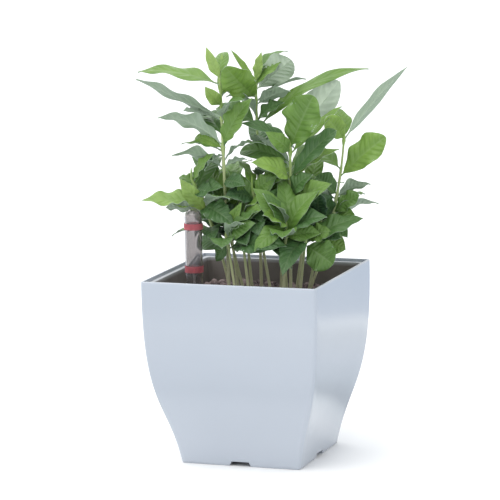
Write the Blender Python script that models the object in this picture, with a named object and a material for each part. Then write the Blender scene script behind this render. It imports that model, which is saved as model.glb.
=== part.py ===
"""A square self-watering planter: a glossy outer pot that holds the water, a planting pot hung in
its rim, wicks that stand in the water, a float gauge in one corner, and a clump of seedlings.

The origin is the middle of the base, +Z is up and the front faces -Y. Lengths are in metres;
the tables of plants are in millimetres and are scaled by MM.
"""

import itertools
import math

import bmesh
import bpy
import numpy as np
from mathutils import Matrix, Vector
from mathutils.bvhtree import BVHTree

MM = 0.001
GAP = 0.3 * MM  # between pieces that rest on each other
CUT_SPARE = 5 * MM  # how far a cutter stands clear of what it cuts

# Outer pot: half its width against height is one cubic curve, from the rim down to the base.
POT_CURVE = ((100, 206), (101, 64), (81, 74), (68.5, 0))
POT_CORNER = 4 * MM
POT_INNER_CORNER = 2 * MM
POT_WALL = 3 * MM
INSIDE_FROM, INSIDE_TO, INSIDE_FLOOR = 0.03, 0.88, 0.95  # places along the curve that the inside follows
POT_RIM = 206 * MM
LIP_ROUND = 1.5 * MM
LEDGE_TOP = 200.5 * MM
LEDGE_HALF = 94.9 * MM
LEDGE_THICKNESS = 2.5 * MM
FLOOR_UNDER = 7 * MM
FLOOR_TOP = 10 * MM
RECESS_HALF = 64 * MM
RECESS_CORNER = 26 * MM
NOTCH_WIDTH, NOTCH_TOP_WIDTH, NOTCH_HEIGHT = 25 * MM, 20 * MM, 5 * MM
DRAIN_RADIUS = 6 * MM

# Drain plug: the bung fills the drain hole, its head lies on the floor.
PLUG_HEAD_RADIUS, PLUG_HEAD_HEIGHT = 10 * MM, 3 * MM
PLUG_GRIP_THICKNESS = 3 * MM
PLUG_GRIP_OUTLINE = ((4, 12.3), (5, 18), (3.5, 21))  # half width and height, in millimetres

# Planting pot: straight walls that taper down to its floor, and a flange that hangs on the ledge.
LINER_TOP = LEDGE_TOP + GAP + 2 * MM
LINER_FLANGE = 97 * MM
LINER_MOUTH = 93.4 * MM
LINER_BASE = 80 * MM
LINER_UNDER = 71.5 * MM
LINER_FLOOR = 74 * MM
LINER_WALL = 2 * MM
LINER_CORNER = 8 * MM
SOIL_TOP = 172 * MM
PEBBLE_TOP = 178.6 * MM

# Wick cups, in a square round the drain hole.
CUP_PLACE = 34 * MM
CUP_TOP_RADIUS, CUP_BASE_RADIUS = 14 * MM, 11 * MM
CUP_WALL = 1.2 * MM
CUP_BASE = 12 * MM
CUP_FLANGE, CUP_FLANGE_THICKNESS = 17 * MM, 1.6 * MM
CUP_FLOOR = 2 * MM
CUP_SLOT, CUP_SLOT_LOW, CUP_SLOT_HIGH = 5 * MM, 22 * MM, 58 * MM

# Float gauge, in the front left corner.
GAUGE_X, GAUGE_Y = -54.2 * MM, -53.8 * MM
TUBE_OUTER, TUBE_INNER = 9.5 * MM, 8 * MM
TUBE_TOP = 281 * MM
SLEEVE_OUTER, SLEEVE_INNER = 10 * MM, 8.6 * MM
SLEEVE_TOP = 150 * MM
SLEEVE_FLOOR, SLEEVE_INLET = 2 * MM, 6.5 * MM
SLEEVE_SLOT, SLEEVE_SLOT_HIGH = 4 * MM, 26 * MM
SPIGOT_OUTER, SPIGOT_INNER, SPIGOT_LENGTH = 7.6 * MM, 6.2 * MM, 8 * MM
GAUGE_HOLE = 10.4 * MM
FLOAT_LOW = FLOOR_TOP + 2 * GAP + SLEEVE_FLOOR
FLOAT_RADIUS, FLOAT_HEIGHT = 7.4 * MM, 30 * MM
ROD_RADIUS, ROD_HOLE, ROD_DEPTH = 1.5 * MM, 1.9 * MM, 8 * MM
POINTER_RADIUS, POINTER_HEIGHT = 6.4 * MM, 6 * MM
MIN_MARK, MAX_MARK = 214.5 * MM, 261.5 * MM
MIN_BAND, MAX_BAND = 7 * MM, 6.5 * MM
BAND_THICKNESS = 0.6 * MM
CLEAR_COLUMN = 12.5 * MM  # kept free of leaves round the gauge's axis, so that it can be drawn out
COLUMN_LOW, COLUMN_HIGH = 170 * MM, 500 * MM

# Seedlings: foot (x, y), crown (x, y, z), how far the stem bends, then each leaf placed by hand:
# height of its joint on the stem, tip (x, y, z), width, turn in degrees, arch.
# Turn is how far the upper face leans from the sky (0) to the front (90); arch is the rise of
# the midrib's middle, as a share of the leaf's length. The last value is how many more leaves
# grow by rule, and from what height.
SEEDLINGS = {
    "seedling_left_tall": ((-27, -18), (-31, -24, 423), 0.45, (
        (414, (-139, 6, 425), 25, 22, 0.05),
        (379, (-126, -28, 420), 24, -36, -0.02),
        (347, (-89, -58, 381), 30, -42, 0.12),
        (376, (-82, -2, 382), 24, -30, 0.02),
        (419, (-41, -38, 455), 12, 62, 0.04),
        (346, (7, -29, 400), 25, 58, 0.1),
        (390, (-40, -46, 413), 15, 66, 0.04),
        (394, (-34, -7, 447), 8, 60, 0.02),
        (344, (-4, -28, 375), 7, 50, 0.08),
        (343, (-63, -17, 355), 20, 40, 0.12),
        (341, (-73, -34, 351), 14, 8, 0.06),
        (321, (-82, -41, 338), 30, -34, 0.14),
        (337, (-46, -40, 322), 22, -30, 0.08),
        (323, (-4, -17, 332), 12, -30, 0.08),
        (308, (0, -37, 306), 20, 50, 0.08),
        (299, (-62, 5, 308), 24, 40, 0.1),
        (399, (-25, 23, 418), 14, 30, 0.08),
        (357, (-69, 29, 374), 22, 30, 0.12),
    ), (4, 285)),
    "seedling_back_tall": ((-6, 30), (-6, 23, 412), 0.5, (
        (410, (20, 55, 444), 16, 14, 0.22),
        (410, (-33, 20, 447), 7, 45, 0.06),
        (412, (2, 20, 445), 11, 72, 0.03),
        (403, (35, 25, 437), 34, -62, 0.06),
        (394, (-28, -26, 432), 36, 74, 0.06),
        (391, (39, 61, 413), 24, -24, 0.08),
        (387, (39, 8, 405), 20, -40, 0.08),
        (369, (26, 20, 391), 20, 40, 0.08),
        (360, (104, 84, 425), 20, 34, 0.12),
        (366, (-59, 38, 380), 28, 40, 0.12),
        (338, (14, -16, 355), 24, -30, 0.1),
        (336, (20, 81, 331), 28, 40, 0.12),
    ), (5, 270)),
    "seedling_right_tall": ((38, 1), (40, 1, 342), 0.5, (
        (342, (72, -15, 402), 42, 78, 0.03),
        (342, (78, 59, 410), 36, -62, 0.05),
        (336, (88, 36, 386), 15, 40, 0.03),
        (309, (91, 5, 363), 25, 50, 0.06),
        (336, (-7, -24, 373), 20, 30, 0.16),
        (327, (-19, 4, 338), 26, 40, 0.12),
        (307, (10, -39, 332), 26, 48, 0.14),
        (307, (89, 21, 341), 16, 30, 0.1),
        (278, (88, -6, 306), 26, 58, 0.1),
        (322, (9, -2, 351), 30, -45, 0.08),
        (318, (59, 79, 342), 18, -20, 0.1),
        (273, (21, -35, 296), 24, 50, 0.14),
        (291, (66, -3, 315), 24, 50, 0.12),
    ), (3, 255)),
    "seedling_right": ((51, 26), (89, 42, 352), 0.85, (
        (348, (142, 103, 423), 15, -52, 0.035),
        (348, (74, 21, 375), 24, 58, 0.06),
        (307, (136, 43, 352), 34, 60, 0.04),
        (285, (117, 47, 299), 26, -34, 0.12),
        (280, (104, 68, 286), 18, 12, 0.06),
        (265, (128, 40, 280), 28, -24, 0.08),
        (267, (110, 26, 289), 22, 55, 0.06),
        (262, (105, 18, 260), 26, 44, 0.12),
        (253, (97, 24, 243), 20, 30, 0.12),
        (265, (66, 7, 292), 22, 55, 0.08),
        (287, (61, 27, 308), 26, 55, 0.1),
    ), (4, 250)),
    "seedling_left": ((-30, -5), (-65, -28, 310), 0.25, (
        (280, (-120, -37, 286), 26, 34, 0.05),
        (271, (-67, -50, 312), 19, 72, 0.04),
        (272, (-90, -42, 280), 26, -36, 0.02),
        (253, (-105, 11, 240), 16, 16, 0.06),
        (303, (-55, -25, 326), 9, 50, 0.04),
        (303, (-83, -18, 310), 14, 30, 0.1),
        (292, (-27, -36, 303), 24, 45, 0.1),
        (279, (-23, -61, 265), 28, 50, 0.12),
        (298, (-43, -47, 295), 20, 55, 0.1),
        (255, (-42, -52, 247), 22, 48, 0.12),
    ), (8, 240)),
    "seedling_front_left": ((-12, -36), (-23, -38, 259), 0.5, (
        (246, (-39, -61, 242), 28, 50, 0.12),
        (248, (13, -54, 267), 26, 60, 0.16),
        (250, (-4, -44, 287), 13, 70, 0.05),
        (241, (-36, -34, 220), 16, 60, 0.08),
    ), (8, 236)),
    "seedling_front_middle": ((-2, -22), (-9, -31, 274), 0.5, (
        (265, (24, -43, 284), 20, 44, 0.08),
        (261, (-42, -41, 270), 26, 45, 0.12),
        (247, (33, -50, 239), 32, 58, 0.08),
        (254, (-12, -62, 244), 24, 55, 0.1),
    ), (9, 236)),
    "seedling_front_right": ((36, -19), (43, -25, 266), 0.5, (
        (264, (20, -67, 239), 22, 56, 0.06),
        (259, (27, -54, 277), 30, 42, 0.12),
        (259, (88, -22, 272), 26, 44, 0.1),
        (248, (80, -20, 253), 22, 50, 0.1),
    ), (8, 240)),
    "seedling_right_low": ((52, 20), (68, 24, 271), 0.6, (
        (239, (95, 23, 229), 34, 52, 0.06),
        (260, (71, 4, 296), 24, 60, 0.06),
        (248, (96, 7, 259), 24, 45, 0.12),
        (266, (80, 33, 310), 30, 60, 0.08),
        (242, (93, 11, 244), 20, 40, 0.1),
    ), (9, 240)),
    "seedling_right_front": ((52, -11), (63, -16, 257), 0.5, (
        (239, (93, -18, 219), 36, 62, 0.08),
        (245, (89, -9, 254), 24, 48, 0.14),
        (250, (60, -27, 278), 20, 60, 0.08),
    ), (7, 240)),
    "seedling_middle": ((16, -1), (0, -13, 301), 0.5, (
        (287, (-21, -39, 295), 28, 45, 0.12),
        (292, (27, -12, 313), 24, 50, 0.1),
        (272, (-1, -53, 254), 28, 55, 0.12),
        (281, (20, -41, 268), 24, 52, 0.1),
    ), (12, 240)),
    "seedling_middle_right": ((30, 13), (25, 0, 291), 0.5, (
        (279, (9, -39, 276), 26, 45, 0.14),
        (273, (59, -27, 263), 28, 48, 0.12),
        (282, (45, 5, 302), 22, 50, 0.1),
    ), (12, 240)),
    "seedling_middle_left": ((-16, 1), (-35, -15, 280), 0.5, (
        (264, (-54, -40, 274), 26, 40, 0.12),
        (259, (-8, -35, 246), 26, 50, 0.12),
        (271, (-17, -6, 304), 22, 50, 0.1),
    ), (13, 240)),
    "seedling_inner": ((-9, 8), (-15, 1, 280), 0.5, (
        (269, (-48, -6, 278), 26, 40, 0.12),
        (271, (9, 14, 295), 22, 45, 0.1),
    ), (12, 240)),
    "seedling_back_right": ((16, 32), (22, 38, 297), 0.5, (
        (285, (52, 40, 304), 26, 45, 0.12),
    ), (13, 244)),
    "seedling_back_left": ((-30, 21), (-48, 34, 293), 0.5, (
    ), (12, 240)),
    "seedling_back_far": ((29, 50), (42, 64, 291), 0.5, (
    ), (12, 240)),
}
GROUND = PEBBLE_TOP / MM + 0.3  # where the stems start
STEM_FOOT_RADIUS, STEM_TOP_RADIUS, STEM_BUD = 1.8, 0.9, 3
LEAF_HALF_WIDTHS = ((0.0, 0.05), (0.09, 0.07), (0.28, 0.78), (0.5, 1.0), (0.75, 0.66), (1.0, 0.0))
LEAST_HALF_WIDTH = 0.7
LEAF_THICKNESS = 0.9
LEAF_FOLD = 0.14  # rise of the blade's edges above its midrib, as a share of its half width
GOLDEN_TURN = 137.5
GAUGE_CORNER = -70  # a leaf by rule whose tip would lie at x + y below this turns the other way
RIGHT_REACH = 84  # nor does the tip of a leaf by rule lie further to the right than this
BACK_REACH = 104  # no leaf goes further back than this
HEADINGS = (0, 7, -7, 14, -14, 21, -21, 28, -28, 36, -36, 45, -45)  # what a leaf tries to clear the others
RISES = (0, 7, -7, 14, -14, 21, -21, 28, -28)
SEED = 11

SMOOTH_ANGLE = math.radians(40)

# (colour, roughness, transmission)
FINISHES = {
    "gloss white": ((0.74, 0.77, 0.83), 0.12, 0),
    "dark rubber": ((0.03, 0.03, 0.035), 0.6, 0),
    "dark brown plastic": ((0.045, 0.035, 0.03), 0.5, 0),
    "potting soil": ((0.06, 0.045, 0.035), 0.95, 0),
    "clay pebbles": ((0.2, 0.14, 0.14), 0.9, 0),
    "wick felt": ((0.5, 0.46, 0.38), 0.95, 0),
    "clear plastic": ((0.9, 0.92, 0.93), 0.06, 0.9),
    "red band": ((0.62, 0.05, 0.07), 0.4, 0),
    "red pointer": ((0.55, 0.03, 0.05), 0.45, 0),
    "float foam": ((0.85, 0.84, 0.8), 0.8, 0),
    "white plastic": ((0.8, 0.8, 0.8), 0.4, 0),
    "leaf green": ((0.10, 0.24, 0.05), 0.4, 0),
}


# ---------------------------------------------------------------- helpers

def clear_scene():
    for obj in list(bpy.data.objects):
        bpy.data.objects.remove(obj, do_unlink=True)


def material(name):
    found = bpy.data.materials.get(name)
    if found:
        return found
    colour, roughness, transmission = FINISHES[name]
    made = bpy.data.materials.new(name)
    made.use_nodes = True
    shader = made.node_tree.nodes["Principled BSDF"]
    shader.inputs["Base Color"].default_value = (*colour, 1)
    shader.inputs["Roughness"].default_value = roughness
    shader.inputs["Transmission Weight"].default_value = transmission
    made.diffuse_color = (*colour, 1)
    return made


def skin(rings, loop=False):
    """A mesh with faces between each ring of points and the next. A ring of one point is a pole.

    The end rings are filled, unless loop joins the last ring to the first.
    """
    mesh = bmesh.new()
    rows = [[mesh.verts.new(point) for point in ring] for ring in rings]
    pairs = list(zip(rows, rows[1:]))
    if loop:
        pairs.append((rows[-1], rows[0]))
    for low, high in pairs:
        count = max(len(low), len(high))
        for i in range(count if count > 1 else 0):
            j = (i + 1) % count
            corners = (low[i % len(low)], low[j % len(low)], high[j % len(high)], high[i % len(high)])
            mesh.faces.new(list(dict.fromkeys(corners)))
    for end in (rows[0], rows[-1]):
        if not loop and len(end) > 2:
            mesh.faces.new(end)
    bmesh.ops.recalc_face_normals(mesh, faces=mesh.faces)
    return mesh


def add_object(name, mesh, finish="", location=(0, 0, 0), smooth=True):
    data = bpy.data.meshes.new(name)
    mesh.to_mesh(data)
    mesh.free()
    if smooth:
        data.shade_smooth()
        data.set_sharp_from_angle(angle=SMOOTH_ANGLE)
    if finish:
        data.materials.append(material(finish))
    obj = bpy.data.objects.new(name, data)
    obj.location = location
    bpy.context.scene.collection.objects.link(obj)
    return obj


def helper(name, mesh, location=(0, 0, 0)):
    """A cutter, or a shape that is joined to another: it isn't part of the model by itself."""
    obj = add_object(name, mesh, location=location, smooth=False)
    obj.hide_render = True
    obj.display_type = "WIRE"
    return obj


def combine(obj, other, operation):
    boolean = obj.modifiers.new(f"{operation.lower()} {other.name}", "BOOLEAN")
    boolean.operation = operation
    boolean.object = other
    boolean.solver = "EXACT"


def joint_empty(name, location, parent=None):
    empty = bpy.data.objects.new(name, None)
    empty.empty_display_size = 0.02
    bpy.context.scene.collection.objects.link(empty)
    attach(empty, parent, location)
    return empty


def attach(obj, parent, location=None):
    """Parents obj and keeps it at a place in the world. Every parent here is an unturned empty."""
    place = Vector(obj.location if location is None else location)
    origin = Vector((0, 0, 0))
    above = parent
    while above:
        origin += above.location
        above = above.parent
    obj.parent = parent
    obj.location = place - origin


def square_ring(half, corner, z, steps=3):
    """Points round a square with rounded corners, at one height."""
    ring = []
    for quarter in range(4):
        middle = Vector((half - corner, half - corner)) @ Matrix.Rotation(-quarter * math.pi / 2, 2)
        for step in range(steps + 1):
            angle = quarter * math.pi / 2 + step * math.pi / (2 * steps)
            ring.append((middle.x + corner * math.cos(angle), middle.y + corner * math.sin(angle), z))
    return ring


def round_ring(radius, z, sides):
    if radius == 0:
        return [(0, 0, z)]
    turns = [2 * math.pi * i / sides for i in range(sides)]
    return [(radius * math.cos(a), radius * math.sin(a), z) for a in turns]


def turned(profile, sides=24, loop=False):
    """A mesh of revolution about Z from (radius, height) pairs. The ends close on the axis, or loop."""
    return skin([round_ring(radius, z, sides) for radius, z in profile], loop)


def hole_cutter(name, radius, x, y, low, high):
    return helper(name, turned(((0, low), (radius, low), (radius, high), (0, high))), (x, y, 0))


def cross_prism(width, reach, low, high):
    """Two upright slabs that cross at the middle, as one prism."""
    w = width / 2
    outline = []
    for quarter in range(4):
        turn = Matrix.Rotation(-quarter * math.pi / 2, 2)
        outline += [Vector(p) @ turn for p in ((w, w), (reach, w), (reach, -w))][::-1]
    return skin([[(p.x, p.y, z) for p in outline] for z in (low, high)])


# ---------------------------------------------------------------- outer pot and drain plug

def wall_point(t, inset=0.0):
    """(half width, height) on the pot's side curve, moved inwards by inset along the normal."""
    points = [Vector(p) * MM for p in POT_CURVE]
    s = 1 - t
    place = points[0] * s**3 + points[1] * 3 * s * s * t + points[2] * 3 * s * t * t + points[3] * t**3
    along = (
        (points[1] - points[0]) * s * s
        + (points[2] - points[1]) * 2 * s * t
        + (points[3] - points[2]) * t * t
    ).normalized()
    return place + Vector((along.y, -along.x)) * inset


def outer_pot():
    top_half = wall_point(0).x
    rings = [
        (RECESS_HALF, RECESS_CORNER, FLOOR_UNDER),
        (RECESS_HALF, RECESS_CORNER, 0),
    ]
    for step in range(12, 0, -1):
        place = wall_point(step / 12)
        rings.append((place.x, POT_CORNER, place.y))
    for degrees in (0, 45, 90):
        angle = math.radians(degrees)
        inwards = LIP_ROUND * (1 - math.cos(angle))
        rings.append((top_half - inwards, POT_CORNER - inwards, POT_RIM - LIP_ROUND * (1 - math.sin(angle))))
    mouth = LINER_FLANGE + GAP
    inside = [
        (mouth, POT_RIM - 0.4 * MM),
        (mouth, LEDGE_TOP),
        (LEDGE_HALF, LEDGE_TOP),
        (LEDGE_HALF, LEDGE_TOP - LEDGE_THICKNESS),
    ]
    for step in range(11):
        place = wall_point(INSIDE_FROM + (INSIDE_TO - INSIDE_FROM) * step / 10, POT_WALL)
        inside.append((place.x, place.y))
    inside.append((wall_point(INSIDE_FLOOR, POT_WALL).x - 1 * MM, FLOOR_TOP))
    rings += [(half, POT_INNER_CORNER, z) for half, z in inside]
    pot = add_object("outer_pot", skin([square_ring(*ring) for ring in rings]), "gloss white")
    for side, turn in (("x", 0), ("y", math.pi / 2)):
        cutter = helper(f"notch_cutter_{side}", notch_prism())
        cutter.rotation_euler.z = turn
        combine(pot, cutter, "DIFFERENCE")
    combine(pot, hole_cutter("drain_cutter", DRAIN_RADIUS, 0, 0, 0, 2 * FLOOR_TOP), "DIFFERENCE")
    return pot


def notch_prism():
    """A bar right across the base, whose ends cut the notches in two opposite sides."""
    wide, narrow, reach = NOTCH_WIDTH / 2, NOTCH_TOP_WIDTH / 2, POT_CURVE[-1][0] * MM + 10 * MM
    below = 1 * MM
    spread = (wide - narrow) / NOTCH_HEIGHT * below
    outline = (
        (-wide - spread, -below),
        (wide + spread, -below),
        (narrow, NOTCH_HEIGHT),
        (-narrow, NOTCH_HEIGHT),
    )
    return skin([[(x, y, z) for y, z in outline] for x in (-reach, reach)])


def drain_plug():
    """A rubber bung with a wide head on the floor, and a grip to pull it out by."""
    head_low = FLOOR_TOP + GAP
    profile = (
        (0, FLOOR_UNDER + GAP),
        (DRAIN_RADIUS - 1 * MM, FLOOR_UNDER + GAP),
        (DRAIN_RADIUS - GAP, head_low - 2 * MM),
        (DRAIN_RADIUS - GAP, head_low),
        (PLUG_HEAD_RADIUS, head_low),
        (PLUG_HEAD_RADIUS, head_low + PLUG_HEAD_HEIGHT - 1 * MM),
        (PLUG_HEAD_RADIUS - 1 * MM, head_low + PLUG_HEAD_HEIGHT),
        (0, head_low + PLUG_HEAD_HEIGHT),
    )
    plug = add_object("drain_plug", turned(profile, 20), "dark rubber")
    outline = [(x * MM, z * MM) for x, z in PLUG_GRIP_OUTLINE]
    outline += [(-x, z) for x, z in outline[::-1]]
    reach = PLUG_GRIP_THICKNESS / 2
    grip = skin([[(x, y, z) for x, z in outline] for y in (-reach, reach)])
    combine(plug, helper("plug_grip", grip), "UNION")
    return plug


# ---------------------------------------------------------------- planting pot and what it holds

def liner_half(z, inner=True):
    """Half the planting pot's width at a height, inside or outside its wall."""
    share = (z - LINER_FLOOR) / (LINER_TOP - LINER_FLOOR)
    outer = LINER_BASE + share * (LINER_MOUTH - LINER_BASE)
    return outer - (LINER_WALL if inner else 0)


def cup_places():
    return [(x * CUP_PLACE, y * CUP_PLACE) for x, y in ((-1, -1), (1, -1), (1, 1), (-1, 1))]


def grow_pot():
    flange_low = LEDGE_TOP + GAP
    rings = [
        (LINER_BASE - 2 * MM, LINER_CORNER - 2 * MM, LINER_UNDER),
        (LINER_BASE, LINER_CORNER, LINER_UNDER + 2 * MM),
        (liner_half(flange_low, False), LINER_CORNER, flange_low),
        (LINER_FLANGE, 2 * MM, flange_low),
        (LINER_FLANGE, 2 * MM, LINER_TOP - 0.5 * MM),
        (LINER_FLANGE - 0.5 * MM, 2 * MM, LINER_TOP),
        (liner_half(LINER_TOP) + 0.7 * MM, LINER_CORNER - 1 * MM, LINER_TOP),
        (liner_half(LINER_TOP - 1 * MM), LINER_CORNER - 2 * MM, LINER_TOP - 1 * MM),
        (liner_half(LINER_FLOOR), LINER_CORNER - 2 * MM, LINER_FLOOR),
    ]
    pot = add_object("grow_pot", skin([square_ring(*ring) for ring in rings]), "dark brown plastic")
    holes = [("gauge_hole", GAUGE_HOLE, GAUGE_X, GAUGE_Y)]
    holes += [(f"cup_hole_{i}", CUP_TOP_RADIUS + GAP, x, y) for i, (x, y) in enumerate(cup_places(), 1)]
    for hole in holes:
        combine(pot, hole_cutter(*hole, LINER_UNDER - CUT_SPARE, LINER_FLOOR + CUT_SPARE), "DIFFERENCE")
    return pot


def filling(name, low, high, finish):
    """A block of what fills the planting pot between two heights, with a hole for the gauge."""
    rings = [square_ring(liner_half(z) - 2 * GAP, LINER_CORNER - LINER_WALL - GAP, z) for z in (low, high)]
    block = add_object(name, skin(rings), finish)
    hole = hole_cutter(f"{name}_hole", GAUGE_HOLE, GAUGE_X, GAUGE_Y, low - CUT_SPARE, high + CUT_SPARE)
    combine(block, hole, "DIFFERENCE")
    return block


def wick_cup(number, x, y):
    flange_low = LINER_FLOOR + GAP
    profile = (
        (0, CUP_BASE),
        (CUP_BASE_RADIUS, CUP_BASE),
        (CUP_TOP_RADIUS, LINER_UNDER),
        (CUP_TOP_RADIUS, flange_low),
        (CUP_FLANGE, flange_low),
        (CUP_FLANGE, flange_low + CUP_FLANGE_THICKNESS),
        (CUP_TOP_RADIUS - CUP_WALL, flange_low + CUP_FLANGE_THICKNESS),
        (CUP_BASE_RADIUS - CUP_WALL, CUP_BASE + CUP_FLOOR),
        (0, CUP_BASE + CUP_FLOOR),
    )
    cup = add_object(f"wick_cup_{number}", turned(profile, 20), "dark brown plastic", (x, y, 0))
    cross = cross_prism(CUP_SLOT, CUP_TOP_RADIUS + CUT_SPARE, CUP_SLOT_LOW, CUP_SLOT_HIGH)
    combine(cup, helper(f"cup_slots_{number}", cross, (x, y, 0)), "DIFFERENCE")
    return cup


def wick_core(number, x, y):
    low, high = CUP_BASE + CUP_FLOOR + GAP, LINER_FLOOR + CUP_FLANGE_THICKNESS
    profile = (
        (0, low),
        (CUP_BASE_RADIUS - CUP_WALL - GAP, low),
        (CUP_TOP_RADIUS - CUP_WALL - 2 * GAP, high),
        (0, high),
    )
    return add_object(f"wick_core_{number}", turned(profile, 16), "wick felt", (x, y, 0))


# ---------------------------------------------------------------- float gauge

def gauge_tube():
    """A clear tube with a domed top, open at the bottom."""
    spring_line = TUBE_TOP - TUBE_OUTER
    low = SLEEVE_TOP + GAP
    dome = [(math.cos(math.radians(a)), math.sin(math.radians(a))) for a in (0, 30, 60)] + [(0, 1)]
    outside = [(TUBE_OUTER * x, spring_line + TUBE_OUTER * z) for x, z in dome]
    inside = [(TUBE_INNER * x, spring_line + TUBE_INNER * z) for x, z in dome]
    profile = [(TUBE_OUTER, low), *outside, *inside[::-1], (TUBE_INNER, low)]
    return add_object("gauge_tube", turned(profile, loop=True), "clear plastic", (GAUGE_X, GAUGE_Y, 0))


def mark_ring(name, middle, band):
    low, high = middle - band / 2, middle + band / 2
    inner = TUBE_OUTER + GAP
    profile = ((inner, low), (inner + BAND_THICKNESS, low), (inner + BAND_THICKNESS, high), (inner, high))
    return add_object(name, turned(profile, loop=True), "red band", (GAUGE_X, GAUGE_Y, 0))


def gauge_sleeve():
    """The guide that the float slides in, slotted at its foot, with a spigot for the clear tube."""
    foot = FLOOR_TOP + GAP
    spigot_top = SLEEVE_TOP + SPIGOT_LENGTH
    profile = (
        (SLEEVE_INLET, foot),
        (SLEEVE_OUTER, foot),
        (SLEEVE_OUTER, SLEEVE_TOP),
        (SPIGOT_OUTER, SLEEVE_TOP),
        (SPIGOT_OUTER, spigot_top),
        (SPIGOT_INNER, spigot_top),
        (SPIGOT_INNER, SLEEVE_TOP - 3 * MM),
        (SLEEVE_INNER, SLEEVE_TOP - 6 * MM),
        (SLEEVE_INNER, foot + SLEEVE_FLOOR),
        (SLEEVE_INLET, foot + SLEEVE_FLOOR),
    )
    axis = (GAUGE_X, GAUGE_Y, 0)
    sleeve = add_object("gauge_sleeve", turned(profile, loop=True), "dark brown plastic", axis)
    cross = cross_prism(SLEEVE_SLOT, SLEEVE_OUTER + CUT_SPARE, foot - CUT_SPARE, SLEEVE_SLOT_HIGH)
    combine(sleeve, helper("sleeve_slots", cross, axis), "DIFFERENCE")
    return sleeve


def float_block():
    low = FLOAT_LOW
    high = low + FLOAT_HEIGHT
    profile = (
        (0, low),
        (FLOAT_RADIUS - 1 * MM, low),
        (FLOAT_RADIUS, low + 1 * MM),
        (FLOAT_RADIUS, high - 1 * MM),
        (FLOAT_RADIUS - 1 * MM, high),
        (ROD_HOLE, high),
        (ROD_HOLE, high - ROD_DEPTH),
        (0, high - ROD_DEPTH),
    )
    return add_object("float", turned(profile, 20), "float foam", (GAUGE_X, GAUGE_Y, 0))


def float_rod():
    low = FLOAT_LOW + FLOAT_HEIGHT - ROD_DEPTH + GAP
    high = MIN_MARK - GAP
    profile = ((0, low), (ROD_RADIUS, low), (ROD_RADIUS, high), (0, high))
    return add_object("float_rod", turned(profile, 12), "white plastic", (GAUGE_X, GAUGE_Y, 0))


def pointer():
    low, high = MIN_MARK - POINTER_HEIGHT / 2, MIN_MARK + POINTER_HEIGHT / 2
    profile = (
        (0, MIN_MARK),
        (ROD_HOLE, MIN_MARK),
        (ROD_HOLE, low),
        (POINTER_RADIUS - 0.5 * MM, low),
        (POINTER_RADIUS, low + 1 * MM),
        (POINTER_RADIUS, high - 1.5 * MM),
        (POINTER_RADIUS - 1.5 * MM, high),
        (0, high),
    )
    return add_object("pointer", turned(profile, 20), "red pointer", (GAUGE_X, GAUGE_Y, 0))


# ---------------------------------------------------------------- seedlings, in millimetres

def stem_point(foot, crown, bend, z):
    """The stem's middle at a height: at a bend of 0 it leaves the soil upright and then leans over."""
    t = (z - GROUND) / (crown[2] - GROUND)
    sideways = 2 * bend * t * (1 - t) + t * t
    level = Vector(foot).lerp(Vector(crown[:2]), sideways)
    return Vector((*level, z))


def stem_rings(foot, crown, bend, sides=6, steps=6):
    rings = []
    for step in range(steps + 1):
        share = step / steps
        radius = STEM_FOOT_RADIUS + share * (STEM_TOP_RADIUS - STEM_FOOT_RADIUS)
        middle = stem_point(foot, crown, bend, GROUND + share * (crown[2] - GROUND))
        rings.append([middle + Vector(p) for p in round_ring(radius, 0, sides)])
    rings.append([Vector(crown) + Vector((0, 0, STEM_BUD))])
    return rings


def blade_frame(base, tip, turn):
    """The leaf's side and its upper face's normal."""
    ahead = (tip - base).normalized()
    face = Vector((0, -math.sin(math.radians(turn)), math.cos(math.radians(turn))))
    side = ahead.cross(face).normalized()
    return side, side.cross(ahead)


def midrib_point(base, tip, normal, arch, u):
    length = (tip - base).length
    return base.lerp(tip, u) + normal * (4 * arch * length * u * (1 - u))


def leaf_rings(base, tip, width, turn, arch):
    """Diamond cross-sections along the midrib, whose edges fold up a little."""
    side, normal = blade_frame(base, tip, turn)
    rings = []
    for u, share in LEAF_HALF_WIDTHS:
        middle = midrib_point(base, tip, normal, arch, u)
        if share == 0:
            rings.append([middle])
            continue
        half = max(share * width / 2, LEAST_HALF_WIDTH)
        edge = normal * (half * LEAF_FOLD)
        rib = normal * (LEAF_THICKNESS * (1.1 - 0.6 * u))
        rings.append([middle - side * half + edge, middle - rib, middle + side * half + edge, middle + rib])
    return rings


def tree_of(rings):
    mesh = skin(rings)
    tree = BVHTree.FromBMesh(mesh)
    mesh.free()
    return tree


def turned_tip(base, tip, heading, rise):
    """The tip after the leaf swings sideways by heading and up by rise, in degrees, about its joint."""
    ahead = tip - base
    level = Vector((ahead.y, -ahead.x, 0)).normalized()
    raised = Matrix.Rotation(math.radians(rise), 3, level) @ ahead
    return base + Matrix.Rotation(math.radians(heading), 3, "Z") @ raised


def rule_leaves(foot, crown, bend, count, lowest, random):
    """Leaves in a spiral up the stem, long and level below, short and steep above."""
    leaves = []
    start = random.uniform(0, 360)
    for i in range(count):
        share = i / max(count - 1, 1)
        z = lowest + share * (crown[2] - 4 - lowest)
        heading = math.radians(start + i * GOLDEN_TURN)
        rise = math.radians(2 + 42 * share + random.uniform(-8, 8))
        length = (66 - 18 * share) * random.uniform(0.85, 1.15)
        base = stem_point(foot, crown, bend, z)
        reach = length * math.cos(rise)
        out = Vector((reach * math.cos(heading), reach * math.sin(heading), 0))
        end = base + out
        if end.x + end.y < GAUGE_CORNER or end.x > RIGHT_REACH or end.y > BACK_REACH:
            out = -out
        tip = base + out + Vector((0, 0, length * math.sin(rise)))
        turn, arch = random.uniform(-15, 60), random.uniform(0.08, 0.18)
        leaves.append((z, tuple(tip), length * 0.44, turn, arch))
    return leaves


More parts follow.
